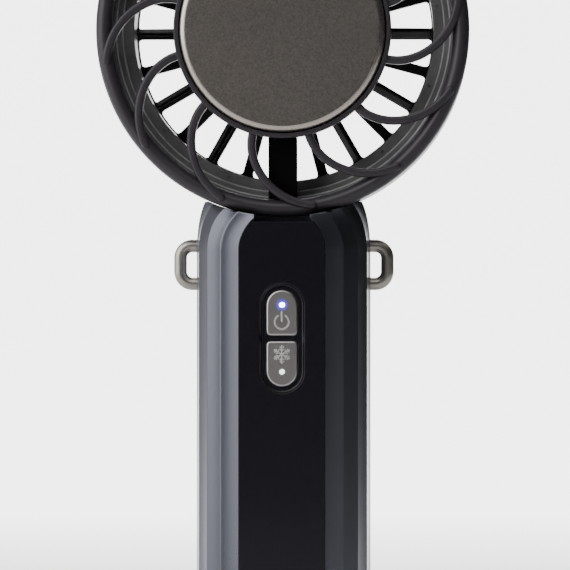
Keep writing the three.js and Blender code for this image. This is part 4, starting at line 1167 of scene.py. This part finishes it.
class FAN_OT_handle(Maker):
    """Makes the two fluted handle shells and the base cap."""

    bl_idname = "fan.handle"
    bl_label = "Handle"

    def execute(self, context):
        s, b = context.scene.fan_handle, context.scene.fan_buttons
        for word, shell in (("front", self.front_shell(s, b)), ("rear", self.rear_shell(s))):
            paint(soften(shell, MACHINED_EDGE), FINISHES["anodised_body"], FINISHES["black_plastic"])
            # The saddle's face under the head gets black plastic: painted shade.
            paint_saddle_shade(shell, s)
            settle(shell, "handle", "anodised_body", f"handle_{word}_shell").name = f"handle_{word}"
        settle(self.base_cap(s), "handle", "black_plastic", "base_cap")
        return {"FINISHED"}

    @staticmethod
    def front_shell(s, b):
        """The front half, with the panel's bed, the notch and the holes behind the buttons."""
        panel_top = HEAD_CENTRE.z - HEAD_RADIUS + 0.0008
        panel_back = PANEL_HIGH.y + 0.0001
        notch, notch_depth = s.notch_width / 2, 0.008
        ahead = FRONT_LOW.y * 2
        shell = handle_solid(s, FRONT_LOW.z - 0.0001)
        carve(shell, block(-FAR, FAR, -s.seam, FAR, -FAR, TOP))
        carve(shell, handle_hollow(s))
        carve(shell, panel_solid(s, -PAST, panel_top, s.panel_gap, ahead, panel_back))
        carve(shell, block(-notch, notch, ahead, FRONT_LOW.y + notch_depth, PANEL_HIGH.z, TOP))
        loop_pockets(shell)
        for side in (-1, 1):
            centre = button_centre(b, side)
            carve(shell, rod(b.stem_radius + 0.0003, FRONT_LOW.y, 0.0, 0, centre - side * b.stem_offset))
            carve(shell, rod(0.00095, FRONT_LOW.y, 0.0, 0, centre + side * b.light_offset))
        return shell

    @staticmethod
    def rear_shell(s):
        """The rear half, with the socket's hole and the two ears that hold the hinge pin."""
        play = 0.0003
        shell = handle_solid(s, FRONT_LOW.z - 0.0001)
        carve(shell, block(-FAR, FAR, -FAR, s.seam, -FAR, TOP))
        carve(shell, handle_hollow(s))
        carve(shell, block(-FAR, FAR, s.saddle_depth, FAR, HINGE.z - play, TOP))
        clear = KNUCKLE + play
        carve(shell, block(-EAR_INNER, EAR_INNER, HINGE.y - clear, FAR, HINGE.z - clear, TOP))
        loop_pockets(shell)
        low, high = node_box("usb_c_socket")
        middle = ((low.x + high.x) / 2, (low.z + high.z) / 2)
        size, slack = high - low, 0.0005
        hole = slot_outline(size.x + slack, size.z + slack, middle)
        carve(shell, slab("tool", hole, 0.01, 0.03, None))
        edge = 0.0003
        for side in (-1, 1):
            low, high = sorted((side * EAR_INNER, side * EAR_OUTER))
            ear = [(0, low), (KNUCKLE - edge, low), (KNUCKLE, low + edge), (KNUCKLE, high - edge),
                   (KNUCKLE - edge, high), (0, high)]
            carve(shell, turned("tool", ear, None, 64, HINGE, "X"), "UNION")
            foot = block(low, high, HINGE.y - KNUCKLE, HINGE.y + KNUCKLE, HINGE.z - 0.004, HINGE.z)
            carve(shell, foot, "UNION")
        carve(shell, turned("tool", cylinder(EAR_BORE, -FAR, FAR), None, 48, HINGE, "X"))
        return shell

    @staticmethod
    def base_cap(s):
        """The cap under the handle, with a rounded lower edge and a sunk seat for each screw."""
        heights = [(0.0, 0.0009), (0.0003, 0.0004), (0.0009, 0.0), (CAP_LOW.z + 0.0041, 0.0)]
        loops = [handle_loop(s, z, inset) for z, inset in heights]
        cap = rings("base_cap_fine", loops, FINISHES["black_plastic"])
        mouth, seat, floor = 0.0024, 0.0021, 0.0018
        well = [(0, -PAST), (mouth, -PAST), (seat, 0.0002), (seat, floor), (0, floor)]
        for word in ("left", "right"):
            low, high = node_box(f"base_screw_{word}")
            at = Vector(((low.x + high.x) / 2, (low.y + high.y) / 2, 0))
            carve(cap, turned("tool", well, None, 48, at, "Z"))
        return cap


class FAN_OT_face(Maker):
    """Makes the gloss face panel and the bevelled frame round the buttons."""

    bl_idname = "fan.face"
    bl_label = "Face panel"

    def execute(self, context):
        s, b = context.scene.fan_handle, context.scene.fan_buttons
        front, back = PANEL_LOW.y, PANEL_HIGH.y
        middle = (0.0, (FRAME_LOW.z + FRAME_HIGH.z) / 2)
        width, height = b.width + 2 * b.rim, 2 * b.height + b.spacing + 2 * b.rim
        panel = panel_solid(s, FRONT_LOW.z - 0.0001, PANEL_HIGH.z, -s.panel_gap, front, back)
        opening = slot_outline(width, height, middle)
        steps = 5
        bevel = 0.0007
        levels = [(front - 0.0005, 0.0012), (front, bevel)]
        for i in range(1, steps + 1):
            levels.append((front + bevel * math.sin(math.pi / 2 * i / steps), bevel * (1 - i / steps)))
        levels.append((back + PAST, 0.0))
        cutter = rings("tool", [[(x, y, z) for x, z in grown(opening, m)] for y, m in levels], None)
        carve(panel, cutter)
        paint(soften(panel, MOULDED_EDGE), FINISHES["face_panel"])
        settle(panel, "handle", "face_panel", "face_panel").name = "gloss_face"

        outline = slot_outline(width - 0.0001, height - 0.0001, middle)
        plate = slab("frame_plate", outline, FRAME_LOW.y, FRAME_HIGH.y, None)
        for side in (-1, 1):
            carve(plate, slab("tool", button_outline(b, side, 0.00022), front, back + PAST, None))
        paint(soften(plate, 0.00008), FINISHES["face_panel"])
        settle(plate, "handle", "face_panel", "button_frame").name = "button_surround"
        return {"FINISHED"}


def stroke(name, points, width, front, back, material):
    """A raised line of even width with round ends."""
    left, right = [], []
    for i, point in enumerate(points):
        ahead = (points[min(i + 1, len(points) - 1)] - points[max(i - 1, 0)]).normalized()
        side = Vector((-ahead.y, ahead.x)) * width / 2
        left.append(point + side)
        right.append(point - side)
    ends = []
    for point, toward in ((points[-1], points[-1] - points[-2]), (points[0], points[0] - points[1])):
        base = math.atan2(toward.y, toward.x) - math.pi / 2
        ends.append([point + polar(width / 2, base + math.pi * i / 8) for i in range(1, 8)])
    outline = right + ends[0] + list(reversed(left)) + ends[1]
    edge = min(0.00012, width / 3)
    return slab(name, [tuple(p) for p in outline], front, back, material, bevel=edge, steps=2)


class FAN_OT_buttons(Maker):
    """Makes the two push buttons with their polished bevels, raised icons and lit pipes."""

    bl_idname = "fan.buttons"
    bl_label = "Buttons"

    def execute(self, context):
        b, c = context.scene.fan_buttons, context.scene.fan_colours
        front = PANEL_LOW.y + ICON_RISE
        bright = FINISHES["cut_bevel"]
        for side, word in ((1, "power"), (-1, "cooling")):
            centre = button_centre(b, side)
            light = Vector((0, front, centre + side * b.light_offset))
            hue = tuple(c.power_light) if side > 0 else (0.9, 0.95, 1.0)
            spread, strength, brightness = (0.0016, 1.9, 9.0) if side > 0 else (0.0009, 0.35, 2.2)
            glow = halo_finish(f"{word}_glow", hue, light, spread, strength)
            node = node_box(f"{word}_button")
            outline, back = button_outline(b, side), front + b.thickness
            key = slab(f"{word}_key", outline, front, back, glow, b.bevel, 3, bright, 0.0001)
            stem = rod(b.stem_radius, back - 0.00015, node[1].y, 0, centre - side * b.stem_offset)
            carve(key, stem, "UNION")
            carve(key, rod(b.light_hole, -FAR, 0, 0, light.z))
            draw = self.power_icon if side > 0 else self.snow_icon
            icon = draw(b, centre, front, FINISHES["icon_metal"])
            key = gather(f"{word}_key_fine", [key, icon])
            settle(key, f"{word}_key", "button_metal", f"{word}_button")
            pipe_low, pipe_high = node_box(f"{word}_light_pipe")
            radius = (pipe_high.x - pipe_low.x) / 2
            dome = [(0, front - 0.0001), (radius * 0.6, front - 0.00005), (radius, front + 0.0001),
                    (radius, pipe_high.y), (0, pipe_high.y)]
            lit = glow_finish(f"{word}_lit_pipe", (1.0, 1.0, 1.0), brightness)
            pipe = turned(f"{word}_pipe_fine", dome, lit, 40, Vector((0, 0, light.z)))
            settle(pipe, f"{word}_key", "clear_pipe", f"{word}_light_pipe")
        return {"FINISHED"}

    @staticmethod
    def power_icon(b, centre, front, material):
        """An open ring with an upright bar."""
        middle = Vector((0, centre - b.icon_offset))
        height = front - ICON_RISE
        gap = math.radians(32)
        steps = 40
        turns = [math.pi / 2 + gap + (2 * math.pi - 2 * gap) * i / steps for i in range(steps + 1)]
        line = (b.icon_stroke, height, front + ICON_ROOT, material)
        ring = stroke("icon_ring", [middle + polar(b.icon_radius, a) for a in turns], *line)
        bar = [middle + Vector((0, b.icon_radius * k)) for k in (0.15, 1.4)]
        return gather("power_icon", [ring, stroke("icon_bar", bar, *line)])

    @staticmethod
    def snow_icon(b, centre, front, material):
        """Six arms with side twigs, turned round the middle."""
        reach = b.icon_radius * 1.22
        height = front - ICON_RISE
        arm = [Vector((0.0, 0.0)), Vector((reach, 0.0))]
        lines = [stroke("arm", arm, b.icon_stroke * 0.72, height, front + ICON_ROOT, material)]
        for start, size in ((0.42, 0.3), (0.7, 0.26)):
            for sign in (-1, 1):
                root = Vector((reach * start, 0))
                twig = [root, root + polar(reach * size, sign * math.radians(50))]
                lines.append(stroke("twig", twig, b.icon_stroke * 0.6, height, front + ICON_ROOT, material))
        template = gather("snow_arm", lines)
        middle = Vector((0, 0, centre + b.icon_offset + 0.0001))
        return copies(template, 6, math.radians(30), math.radians(60), middle, material)


class FAN_OT_strap_loops(Maker):
    """Makes the two bent-bar strap loops."""

    bl_idname = "fan.strap_loops"
    bl_label = "Strap loops"

    def execute(self, context):
        low, high = LOOP_LOW, LOOP_HIGH
        radius = (high.y - low.y) / 2 - 0.0003
        middle, half = (low.z + high.z) / 2, (high.z - low.z) / 2 - radius
        out = high.x - radius
        bend = 0.0029
        foot = low.x + 0.0012
        route = [Vector((foot, 0, -half)), Vector((FRONT_HIGH.x - 0.0005, 0, -half))]
        for end, start in ((-1, -90), (1, 0)):
            for step in range(15):
                turn = math.radians(start + 90 * step / 14)
                across, up = bend * math.cos(turn), bend * math.sin(turn)
                route.append(Vector((out - bend + across, 0, end * (half - bend) + up)))
        route += [Vector((FRONT_HIGH.x - 0.0005, 0, half)), Vector((foot, 0, half))]
        for side, word in ((-1, "left"), (1, "right")):
            points = [Vector((side * p.x, 0, p.z + middle)) for p in route]
            bail = sweep("bail", points, radius, FINISHES["nickel"])
            xs = sorted((side * low.x, side * (FRONT_HIGH.x - 0.0023)))
            plate = block(xs[0], xs[1], low.y, high.y, low.z, high.z, FINISHES["nickel"], "anchor")
            loop = carve(bail, plate, "UNION")
            paint(loop, FINISHES["nickel"])
            settle(loop, "handle", "nickel", f"strap_loop_{word}").name = f"strap_bail_{word}"
        return {"FINISHED"}


class FAN_OT_guard(Maker):
    """Makes the crowned front ring, the bezel and the twelve swirl ribs."""

    bl_idname = "fan.guard"
    bl_label = "Front guard"

    def execute(self, context):
        s = context.scene.fan_head
        material = FINISHES["guard_plastic"]
        rib_front = HEAD_FRONT
        crown_y = rib_front + s.ring_setback
        back = RING_HIGH.y
        mid = HEAD_RADIUS - s.ring_width / 2
        steps = 28
        crown = []
        for i in range(steps + 1):
            turn = math.pi * i / steps
            along = crown_y + s.ring_round * (1 - math.sin(turn))
            crown.append((mid - s.ring_width / 2 * math.cos(turn), along))
        inner, outer = HEAD_RADIUS - s.ring_width, HEAD_RADIUS
        edge = 0.0003
        section = [(inner, back), *crown, (outer, back - edge), (outer - edge, back)]
        ring = turned("ring", section, material, 240)
        bezel_inner = (PLATE_HIGH.x - PLATE_LOW.x) / 2 + 0.00022
        bezel_outer = bezel_inner + s.bezel_width + 0.00008
        bezel_front, bezel_back = RING_LOW.y, rib_front + s.rib_depth
        profile = rounded([(bezel_inner, bezel_front, 0.0003), (bezel_outer, bezel_front, 0.0004),
                           (bezel_outer, bezel_back), (bezel_inner, bezel_back)], 4)
        bezel = turned("bezel", profile, material, 200)
        rib = self.rib(s, bezel_outer - 0.0006, mid, rib_front, material)
        ribs = copies(rib, s.ribs, s.rib_first, 2 * math.pi / s.ribs, HEAD_CENTRE, material)
        settle(gather("swirl_guard", [ring, bezel, ribs]), "head", "guard_plastic", "front_grille", crisp=40)
        return {"FINISHED"}

    @staticmethod
    def rib(s, root_radius, tip_radius, front, material):
        """One rib about the origin: a rounded bar swept along a cubic curve, with a rounded tip."""
        root, tip = polar(root_radius, 0), polar(tip_radius, s.rib_sweep)
        reach = (tip - root).length
        leave = root + polar(reach * s.rib_leave, 0)
        arrive = tip - polar(reach * s.rib_arrive, s.rib_heading)
        steps = 40

        def at(t):
            near = root * (1 - t) ** 3 + leave * 3 * t * (1 - t) ** 2
            return near + arrive * 3 * t * t * (1 - t) + tip * t ** 3

        half, depth = s.rib_width / 2, s.rib_depth
        crown, foot = 0.0008, 0.0002
        corners = [(-half, 0.0, crown), (half, 0.0, crown), (half, depth, foot), (-half, depth, foot)]
        section = rounded(corners, 5)
        centre_line = [(at(i / steps), 1.0) for i in range(steps + 1)]
        last, before = centre_line[-1][0], centre_line[-2][0]
        ahead = (last - before).normalized()
        for i in range(1, 7):
            turn = math.pi / 2 * i / 6
            centre_line.append((last + ahead * half * math.sin(turn), max(math.cos(turn), 0.03)))
        loops = []
        for i, (point, width) in enumerate(centre_line):
            after = centre_line[min(i + 1, len(centre_line) - 1)][0]
            prior = centre_line[max(i - 1, 0)][0]
            along = (after - prior).normalized()
            side = Vector((-along.y, along.x))
            sink = half * 0.7 * (1 - width)
            squeeze = (depth - sink) / depth
            edges = [point + side * u * width for u, v in section]
            levels = [front + sink + v * squeeze for u, v in section]
            loops.append([(edge.x, level, edge.y) for edge, level in zip(edges, levels)])
        return rings("rib", loops, material)


class FAN_OT_plate(Maker):
    """Makes the blasted cooling plate, the pod behind it and the wire strut."""

    bl_idname = "fan.plate"
    bl_label = "Cooling plate"

    def execute(self, context):
        s = context.scene.fan_head
        radius, front = (PLATE_HIGH.x - PLATE_LOW.x) / 2, PLATE_LOW.y
        skirt = PLATE_HIGH.y
        step = front + 0.0025
        edge = rounded([(0.0, front), (radius, front, s.plate_round), (radius, skirt, 0.0002),
                        (radius - 0.002, skirt, 0.0002), (radius - 0.002, step), (0.0, step)], 10)
        plate = paint(turned("cold_plate", edge, None, 240), FINISHES["blasted_plate"], FINISHES["plate_rim_highlight"])
        # Faces on the rounded edge get the paler rim finish, a painted highlight.
        for face in plate.data.polygons:
            away = Vector((face.center.x, face.center.z - HEAD_CENTRE.z)).length
            face.material_index = int(away > radius - s.plate_round * 0.9)
        settle(plate, "head", "blasted_plate", "cooling_plate", crisp=50)

        pod_low, pod_high = node_box("plate_carrier")
        outer = (pod_high.x - pod_low.x) / 2
        wall = rounded([(outer - 0.0016, pod_low.y, 0.0002), (outer, pod_low.y, 0.0003),
                        (outer, pod_high.y, 0.0005), (outer - 0.0016, pod_high.y, 0.0003)], 4)
        pod = turned("plate_pod", wall, FINISHES["black_plastic"], 180)
        settle(pod, "head", "black_plastic", "plate_carrier")

        strut = block(STRUT_LOW.x, STRUT_HIGH.x, STRUT_LOW.y, STRUT_HIGH.y, STRUT_LOW.z,
                      STRUT_HIGH.z + 0.0012, FINISHES["black_plastic"], "strut")
        hub = cylinder(outer + 0.0001, -0.03, 0.03)
        carve(strut, turned("tool", hub, None, 180))
        paint(soften(strut, 0.0004, 3), FINISHES["black_plastic"])
        settle(strut, "head", "black_plastic", "wire_strut").name = "wire_channel"
        return {"FINISHED"}


class FAN_OT_duct(Maker):
    """Makes the duct with its two lips painted pale as a painted highlight, its ledge pips and the hinge
    knuckle.
    """

    bl_idname = "fan.duct"
    bl_label = "Duct"

    def execute(self, context):
        s = context.scene.fan_head
        material = FINISHES["duct_plastic"]
        inner = HEAD_RADIUS - s.ring_width
        ledge = -0.002
        rim = HEAD_RADIUS - 0.0023
        recess = HEAD_REAR - 0.0028
        front = SHELL_LOW.y
        edge = 0.00035
        corners = [
            (inner, front, edge), (HEAD_RADIUS, front, edge),
            (HEAD_RADIUS, HEAD_REAR, 0.002), (rim, HEAD_REAR, edge),
            (rim, recess), (rim - 0.0001, recess), (rim - 0.0001, 0.001), (s.duct_bore + 0.002, 0.001),
            (s.duct_bore + 0.002, recess), (s.duct_bore, recess, edge), (s.duct_bore, ledge, 0.0005),
            (s.second_lip, ledge), (s.second_lip, ledge - 0.002, edge), (s.first_lip, ledge - 0.002),
            (s.first_lip, ledge - 0.004, edge), (inner, ledge - 0.004),
        ]
        duct = turned("duct", rounded(corners, 5), material, 240)
        pip = turned("pip", [(0, -0.001), (0.0003, -0.001), (0.0003, 0.001), (0, 0.001)], None, 14,
                     Vector((s.duct_bore + 0.0014, ledge, 0)))
        pips = copies(pip, 12, math.radians(9.5), math.radians(30), HEAD_CENTRE, material)
        carve(duct, pips)
        for turn in range(SCREW_FIRST, 360, SCREW_PITCH):
            spot = polar(SCREW_CIRCLE, math.radians(turn))
            at = Vector((spot.x, 0, HEAD_CENTRE.z + spot.y))
            top = recess - 0.0002
            post = [(0, 0.0005), (0.0021, 0.0005), (0.0021, top), (0.00095, top),
                    (0.00095, top - 0.008), (0, top - 0.008)]
            carve(duct, turned("tool", post, None, 32, at), "UNION")
        knuckle, half = KNUCKLE, 0.0042
        side = half - 0.0002
        leg_top = HEAD_CENTRE.z - HEAD_RADIUS + 0.0021
        leg = block(-side, side, HINGE.y - knuckle + 0.0001, HINGE.y, HINGE.z, leg_top)
        carve(duct, leg, "UNION")
        barrel = [(0, -half), (knuckle - 0.0002, -half), (knuckle, -half + 0.0002), (knuckle, half - 0.0002),
                  (knuckle - 0.0002, half), (0, half)]
        carve(duct, turned("tool", barrel, None, 64, HINGE, "X"), "UNION")
        carve(duct, turned("tool", cylinder(HEAD_BORE, -FAR, FAR), None, 48, HINGE, "X"))
        paint(seal(duct), material, FINISHES["guard_plastic"], FINISHES["duct_lip_highlight"])
        # Faces along the two lips get the pale lip finish, a painted highlight.
        lips = ((s.second_lip, ledge - 0.002), (s.first_lip, ledge - 0.004))
        for face in duct.data.polygons:
            away = Vector((face.center.x, face.center.z - HEAD_CENTRE.z)).length
            face.material_index = int(away > rim - 0.0004)
            if any(abs(away - radius) < edge and abs(face.center.y - y) < edge for radius, y in lips):
                face.material_index = 2
        settle(duct, "head", "duct_plastic", "head_shell").name = "duct_shell"
        return {"FINISHED"}


class FAN_OT_rear_guard(Maker):
    """Makes the rear guard with its rounded windows, and the four screws that hold it."""

    bl_idname = "fan.rear_guard"
    bl_label = "Rear guard"

    def execute(self, context):
        s = context.scene.fan_head
        material = FINISHES["guard_plastic"]
        radius = (GUARD_HIGH.x - GUARD_LOW.x) / 2
        front, back = HEAD_REAR - 0.0025, HEAD_REAR
        low = GUARD_LOW.y
        tube = 0.0046
        profile = rounded([(0.0, back), (radius, back, 0.0004), (radius, front, 0.0002), (tube, front),
                           (tube, low), (0.0032, low), (0.0032, front + 0.0001), (0.0, front + 0.0001)], 4)
        disc = turned("disc", profile, material, 200)
        window = slab("window", self.window(s), front - 0.001, back + 0.001, None)
        pitch = 2 * math.pi / s.windows
        carve(disc, copies(window, s.windows, pitch / 2, pitch, HEAD_CENTRE, material))
        inner, outer, depth = 0.0205, 0.0209, 0.0005
        groove = [(inner, back + PAST), (inner, back - depth), (outer, back - depth), (outer, back + PAST)]
        carve(disc, turned("tool", groove, None, 160))
        hole, sink, floor = 0.0012, 0.0019, back - 0.0014
        well = [(0, front - PAST), (hole, front - PAST), (hole, floor), (sink, floor),
                (sink, back + PAST), (0, back + PAST)]
        wells = turned("well", well, None, 36, Vector((SCREW_CIRCLE, 0, 0)))
        turns = (math.radians(SCREW_FIRST), math.radians(SCREW_PITCH))
        carve(disc, copies(wells, 4, *turns, HEAD_CENTRE, material))
        disc = soften(disc, 0.00025, 2, 50)
        settle(paint(seal(disc), material), "head", "guard_plastic", "rear_guard").name = "rear_window_guard"

        head = [(0, back - 0.0003), (0.0009, back - 0.00022), (0.0015, back - 0.0004),
                (0.0017, back - 0.0007), (0.0017, back - 0.0011), (0.0008, back - 0.0011),
                (0.0008, back - 0.008), (0, back - 0.008)]
        screw = turned("guard_screws_fine", head, None, 32, Vector((SCREW_CIRCLE, 0, 0)))
        for across, up in ((0.0011, 0.0002), (0.0002, 0.0011)):
            left, right = SCREW_CIRCLE - across, SCREW_CIRCLE + across
            carve(screw, block(left, right, back - 0.0008, back + PAST, -up, up))
        screws = copies(screw, 4, *turns, HEAD_CENTRE, FINISHES["steel"])
        settle(screws, "head", "steel", *[f"guard_screw_{i}" for i in range(1, 5)])
        return {"FINISHED"}

    @staticmethod
    def window(s):
        """A sector between two bars, with rounded outer corners."""
        half, bar = math.pi / s.windows, s.bar_width / 2

        def edge(radius):
            return half - math.asin(bar / radius)

        steps = 12
        outer = edge(s.window_outer)
        arc = [polar(s.window_outer, -outer + 2 * outer * i / steps) for i in range(steps + 1)]
        inner = edge(s.window_inner)
        corners = [(*polar(s.window_inner, turn), 0.001) for turn in (inner, -inner)]
        corners.append((*arc[0], s.window_round))
        corners += [tuple(p) for p in arc[3:-3]]
        corners.append((*arc[-1], s.window_round))
        return rounded(corners, 7)


class FAN_OT_impeller(Maker):
    """Makes the hub and its twelve steep blades."""

    bl_idname = "fan.impeller"
    bl_label = "Impeller"

    def execute(self, context):
        s = context.scene.fan_head
        material = FINISHES["black_plastic"]
        front, back = ROTOR_LOW.y, ROTOR_HIGH.y
        rim, bore, boss, wall = 0.022, 0.0016, 0.0036, 0.0015
        magnet_in, magnet_out = 0.0113, 0.0129
        web = front + wall
        profile = rounded([
            (bore, front), (rim, front, 0.0014), (rim, back, 0.0003),
            (rim - wall, back, 0.0003), (rim - wall, web),
            (magnet_out, web), (magnet_out, back - 0.001), (magnet_in, back - 0.001), (magnet_in, web),
            (boss, web), (boss, front + 0.0028), (bore, front + 0.0028),
        ], 5)
        hub = turned("hub", profile, material, 140)
        tip = (ROTOR_HIGH.x - ROTOR_LOW.x) / 2 - 0.0001
        blade = self.blade(front, 0.0215, tip, material)
        blades = copies(blade, s.blades, 0.0, 2 * math.pi / s.blades, HEAD_CENTRE, material)
        settle(gather("impeller_fine", [hub, blades]), "rotor", "black_plastic", "impeller")
        return {"FINISHED"}

    @staticmethod
    def blade(front, root, tip, material):
        """One blade along +X about the origin: a thin curved section with rounded edges."""
        lean, long, steps = 0.0016, 0.008, 10
        loops = []
        for radius, thick in ((root, 0.0013), (root + 0.004, 0.0011), (tip - 0.0005, 0.00085), (tip, 0.0005)):
            left, right = [], []
            for i in range(steps + 1):
                t = i / steps
                y = front + 0.0006 + long * t
                z = lean * (t - 0.5) + 0.0005 * (t - 0.5) ** 2
                half = thick / 2 * math.sqrt(max(0.06, 1 - abs(2 * t - 1) ** 6))
                left.append((radius, y, -z + half))
                right.append((radius, y, -z - half))
            loops.append(left + list(reversed(right)))
        return rings("blade", loops, material)


class FAN_OT_small_parts(Maker):
    """Makes the hinge pin, the USB-C socket's shell and the base screws."""

    bl_idname = "fan.small_parts"
    bl_label = "Small parts"

    def execute(self, context):
        radius, half = 0.0012, PIN_HIGH.x
        pin = rounded([(0, -half), (radius, -half, 0.0003), (radius, half, 0.0003), (0, half)], 4)
        rod_x = turned("hinge_pin_fine", pin, FINISHES["steel"], 48, HINGE, "X")
        settle(rod_x, "handle", "steel", "hinge_pin")

        low, high = node_box("usb_c_socket")
        centre = ((low.x + high.x) / 2, (low.z + high.z) / 2)
        size = high - low
        outline = slot_outline(size.x, size.z, centre)
        shell = slab("socket_shell", outline, low.y, high.y, None, back_bevel=0.0001)
        walls = 0.0006
        outline = slot_outline(size.x - walls, size.z - walls, centre)
        room = slab("tool", outline, low.y + 0.0008, high.y + PAST, None)
        carve(shell, room)
        half, thick = 0.0033, 0.00035
        tongue = block(-half, half, low.y + 0.0004, high.y - 0.0007, centre[1] - thick, centre[1] + thick)
        carve(shell, tongue, "UNION")
        settle(paint(shell, FINISHES["nickel"]), "handle", "nickel", "usb_c_socket")

        for word in ("left", "right"):
            low, high = node_box(f"base_screw_{word}")
            head = (high.x - low.x) / 2
            face = low.z
            under, shank = face + 0.001, 0.0008
            profile = rounded([(0, face), (head, face, 0.0005), (head, under, 0.0001), (shank, under),
                               (shank, high.z), (0, high.z)], 4)
            at = Vector(((low.x + high.x) / 2, (low.y + high.y) / 2, 0))
            screw = turned(f"base_screw_{word}_fine", profile, FINISHES["steel"], 40, at, "Z")
            for across, up in ((0.0012, 0.0002), (0.0002, 0.0012)):
                carve(screw, block(at.x - across, at.x + across, at.y - up, at.y + up, -0.001, face + 0.0005))
            settle(paint(screw, FINISHES["steel"]), "handle", "steel", f"base_screw_{word}")
        return {"FINISHED"}


# ---------------------------------------------------------------- panel and start
STEPS = (
    FAN_OT_finishes, FAN_OT_stage, FAN_OT_handle, FAN_OT_face, FAN_OT_buttons, FAN_OT_strap_loops,
    FAN_OT_guard, FAN_OT_plate, FAN_OT_duct, FAN_OT_rear_guard, FAN_OT_impeller, FAN_OT_small_parts,
)
GROUPS = {
    "fan_handle": HandleSizes, "fan_head": HeadSizes, "fan_buttons": ButtonSizes,
    "fan_colours": FanColours, "fan_studio": StudioSizes,
}


class FAN_PT_panel(bpy.types.Panel):
    """Lists the steps that build the fan."""

    bl_label = "Fan"
    bl_idname = "FAN_PT_panel"
    bl_space_type = "VIEW_3D"
    bl_region_type = "UI"
    bl_category = "Fan"

    def draw(self, context):
        for step in STEPS:
            self.layout.operator(step.bl_idname)


def register():
    """Registers the settings, the steps and the panel."""
    for name, group in GROUPS.items():
        bpy.utils.register_class(group)
        setattr(bpy.types.Scene, name, bpy.props.PointerProperty(type=group))
    for step in (*STEPS, FAN_PT_panel):
        bpy.utils.register_class(step)


def unregister():
    """Takes everything that register added away again."""
    for step in reversed((*STEPS, FAN_PT_panel)):
        bpy.utils.unregister_class(step)
    for name, group in GROUPS.items():
        delattr(bpy.types.Scene, name)
        bpy.utils.unregister_class(group)


def main():
    """Runs every step in order."""
    register()
    for step in STEPS:
        family, action = step.bl_idname.split(".")
        getattr(getattr(bpy.ops, family), action)()


if __name__ == "__main__":
    main()
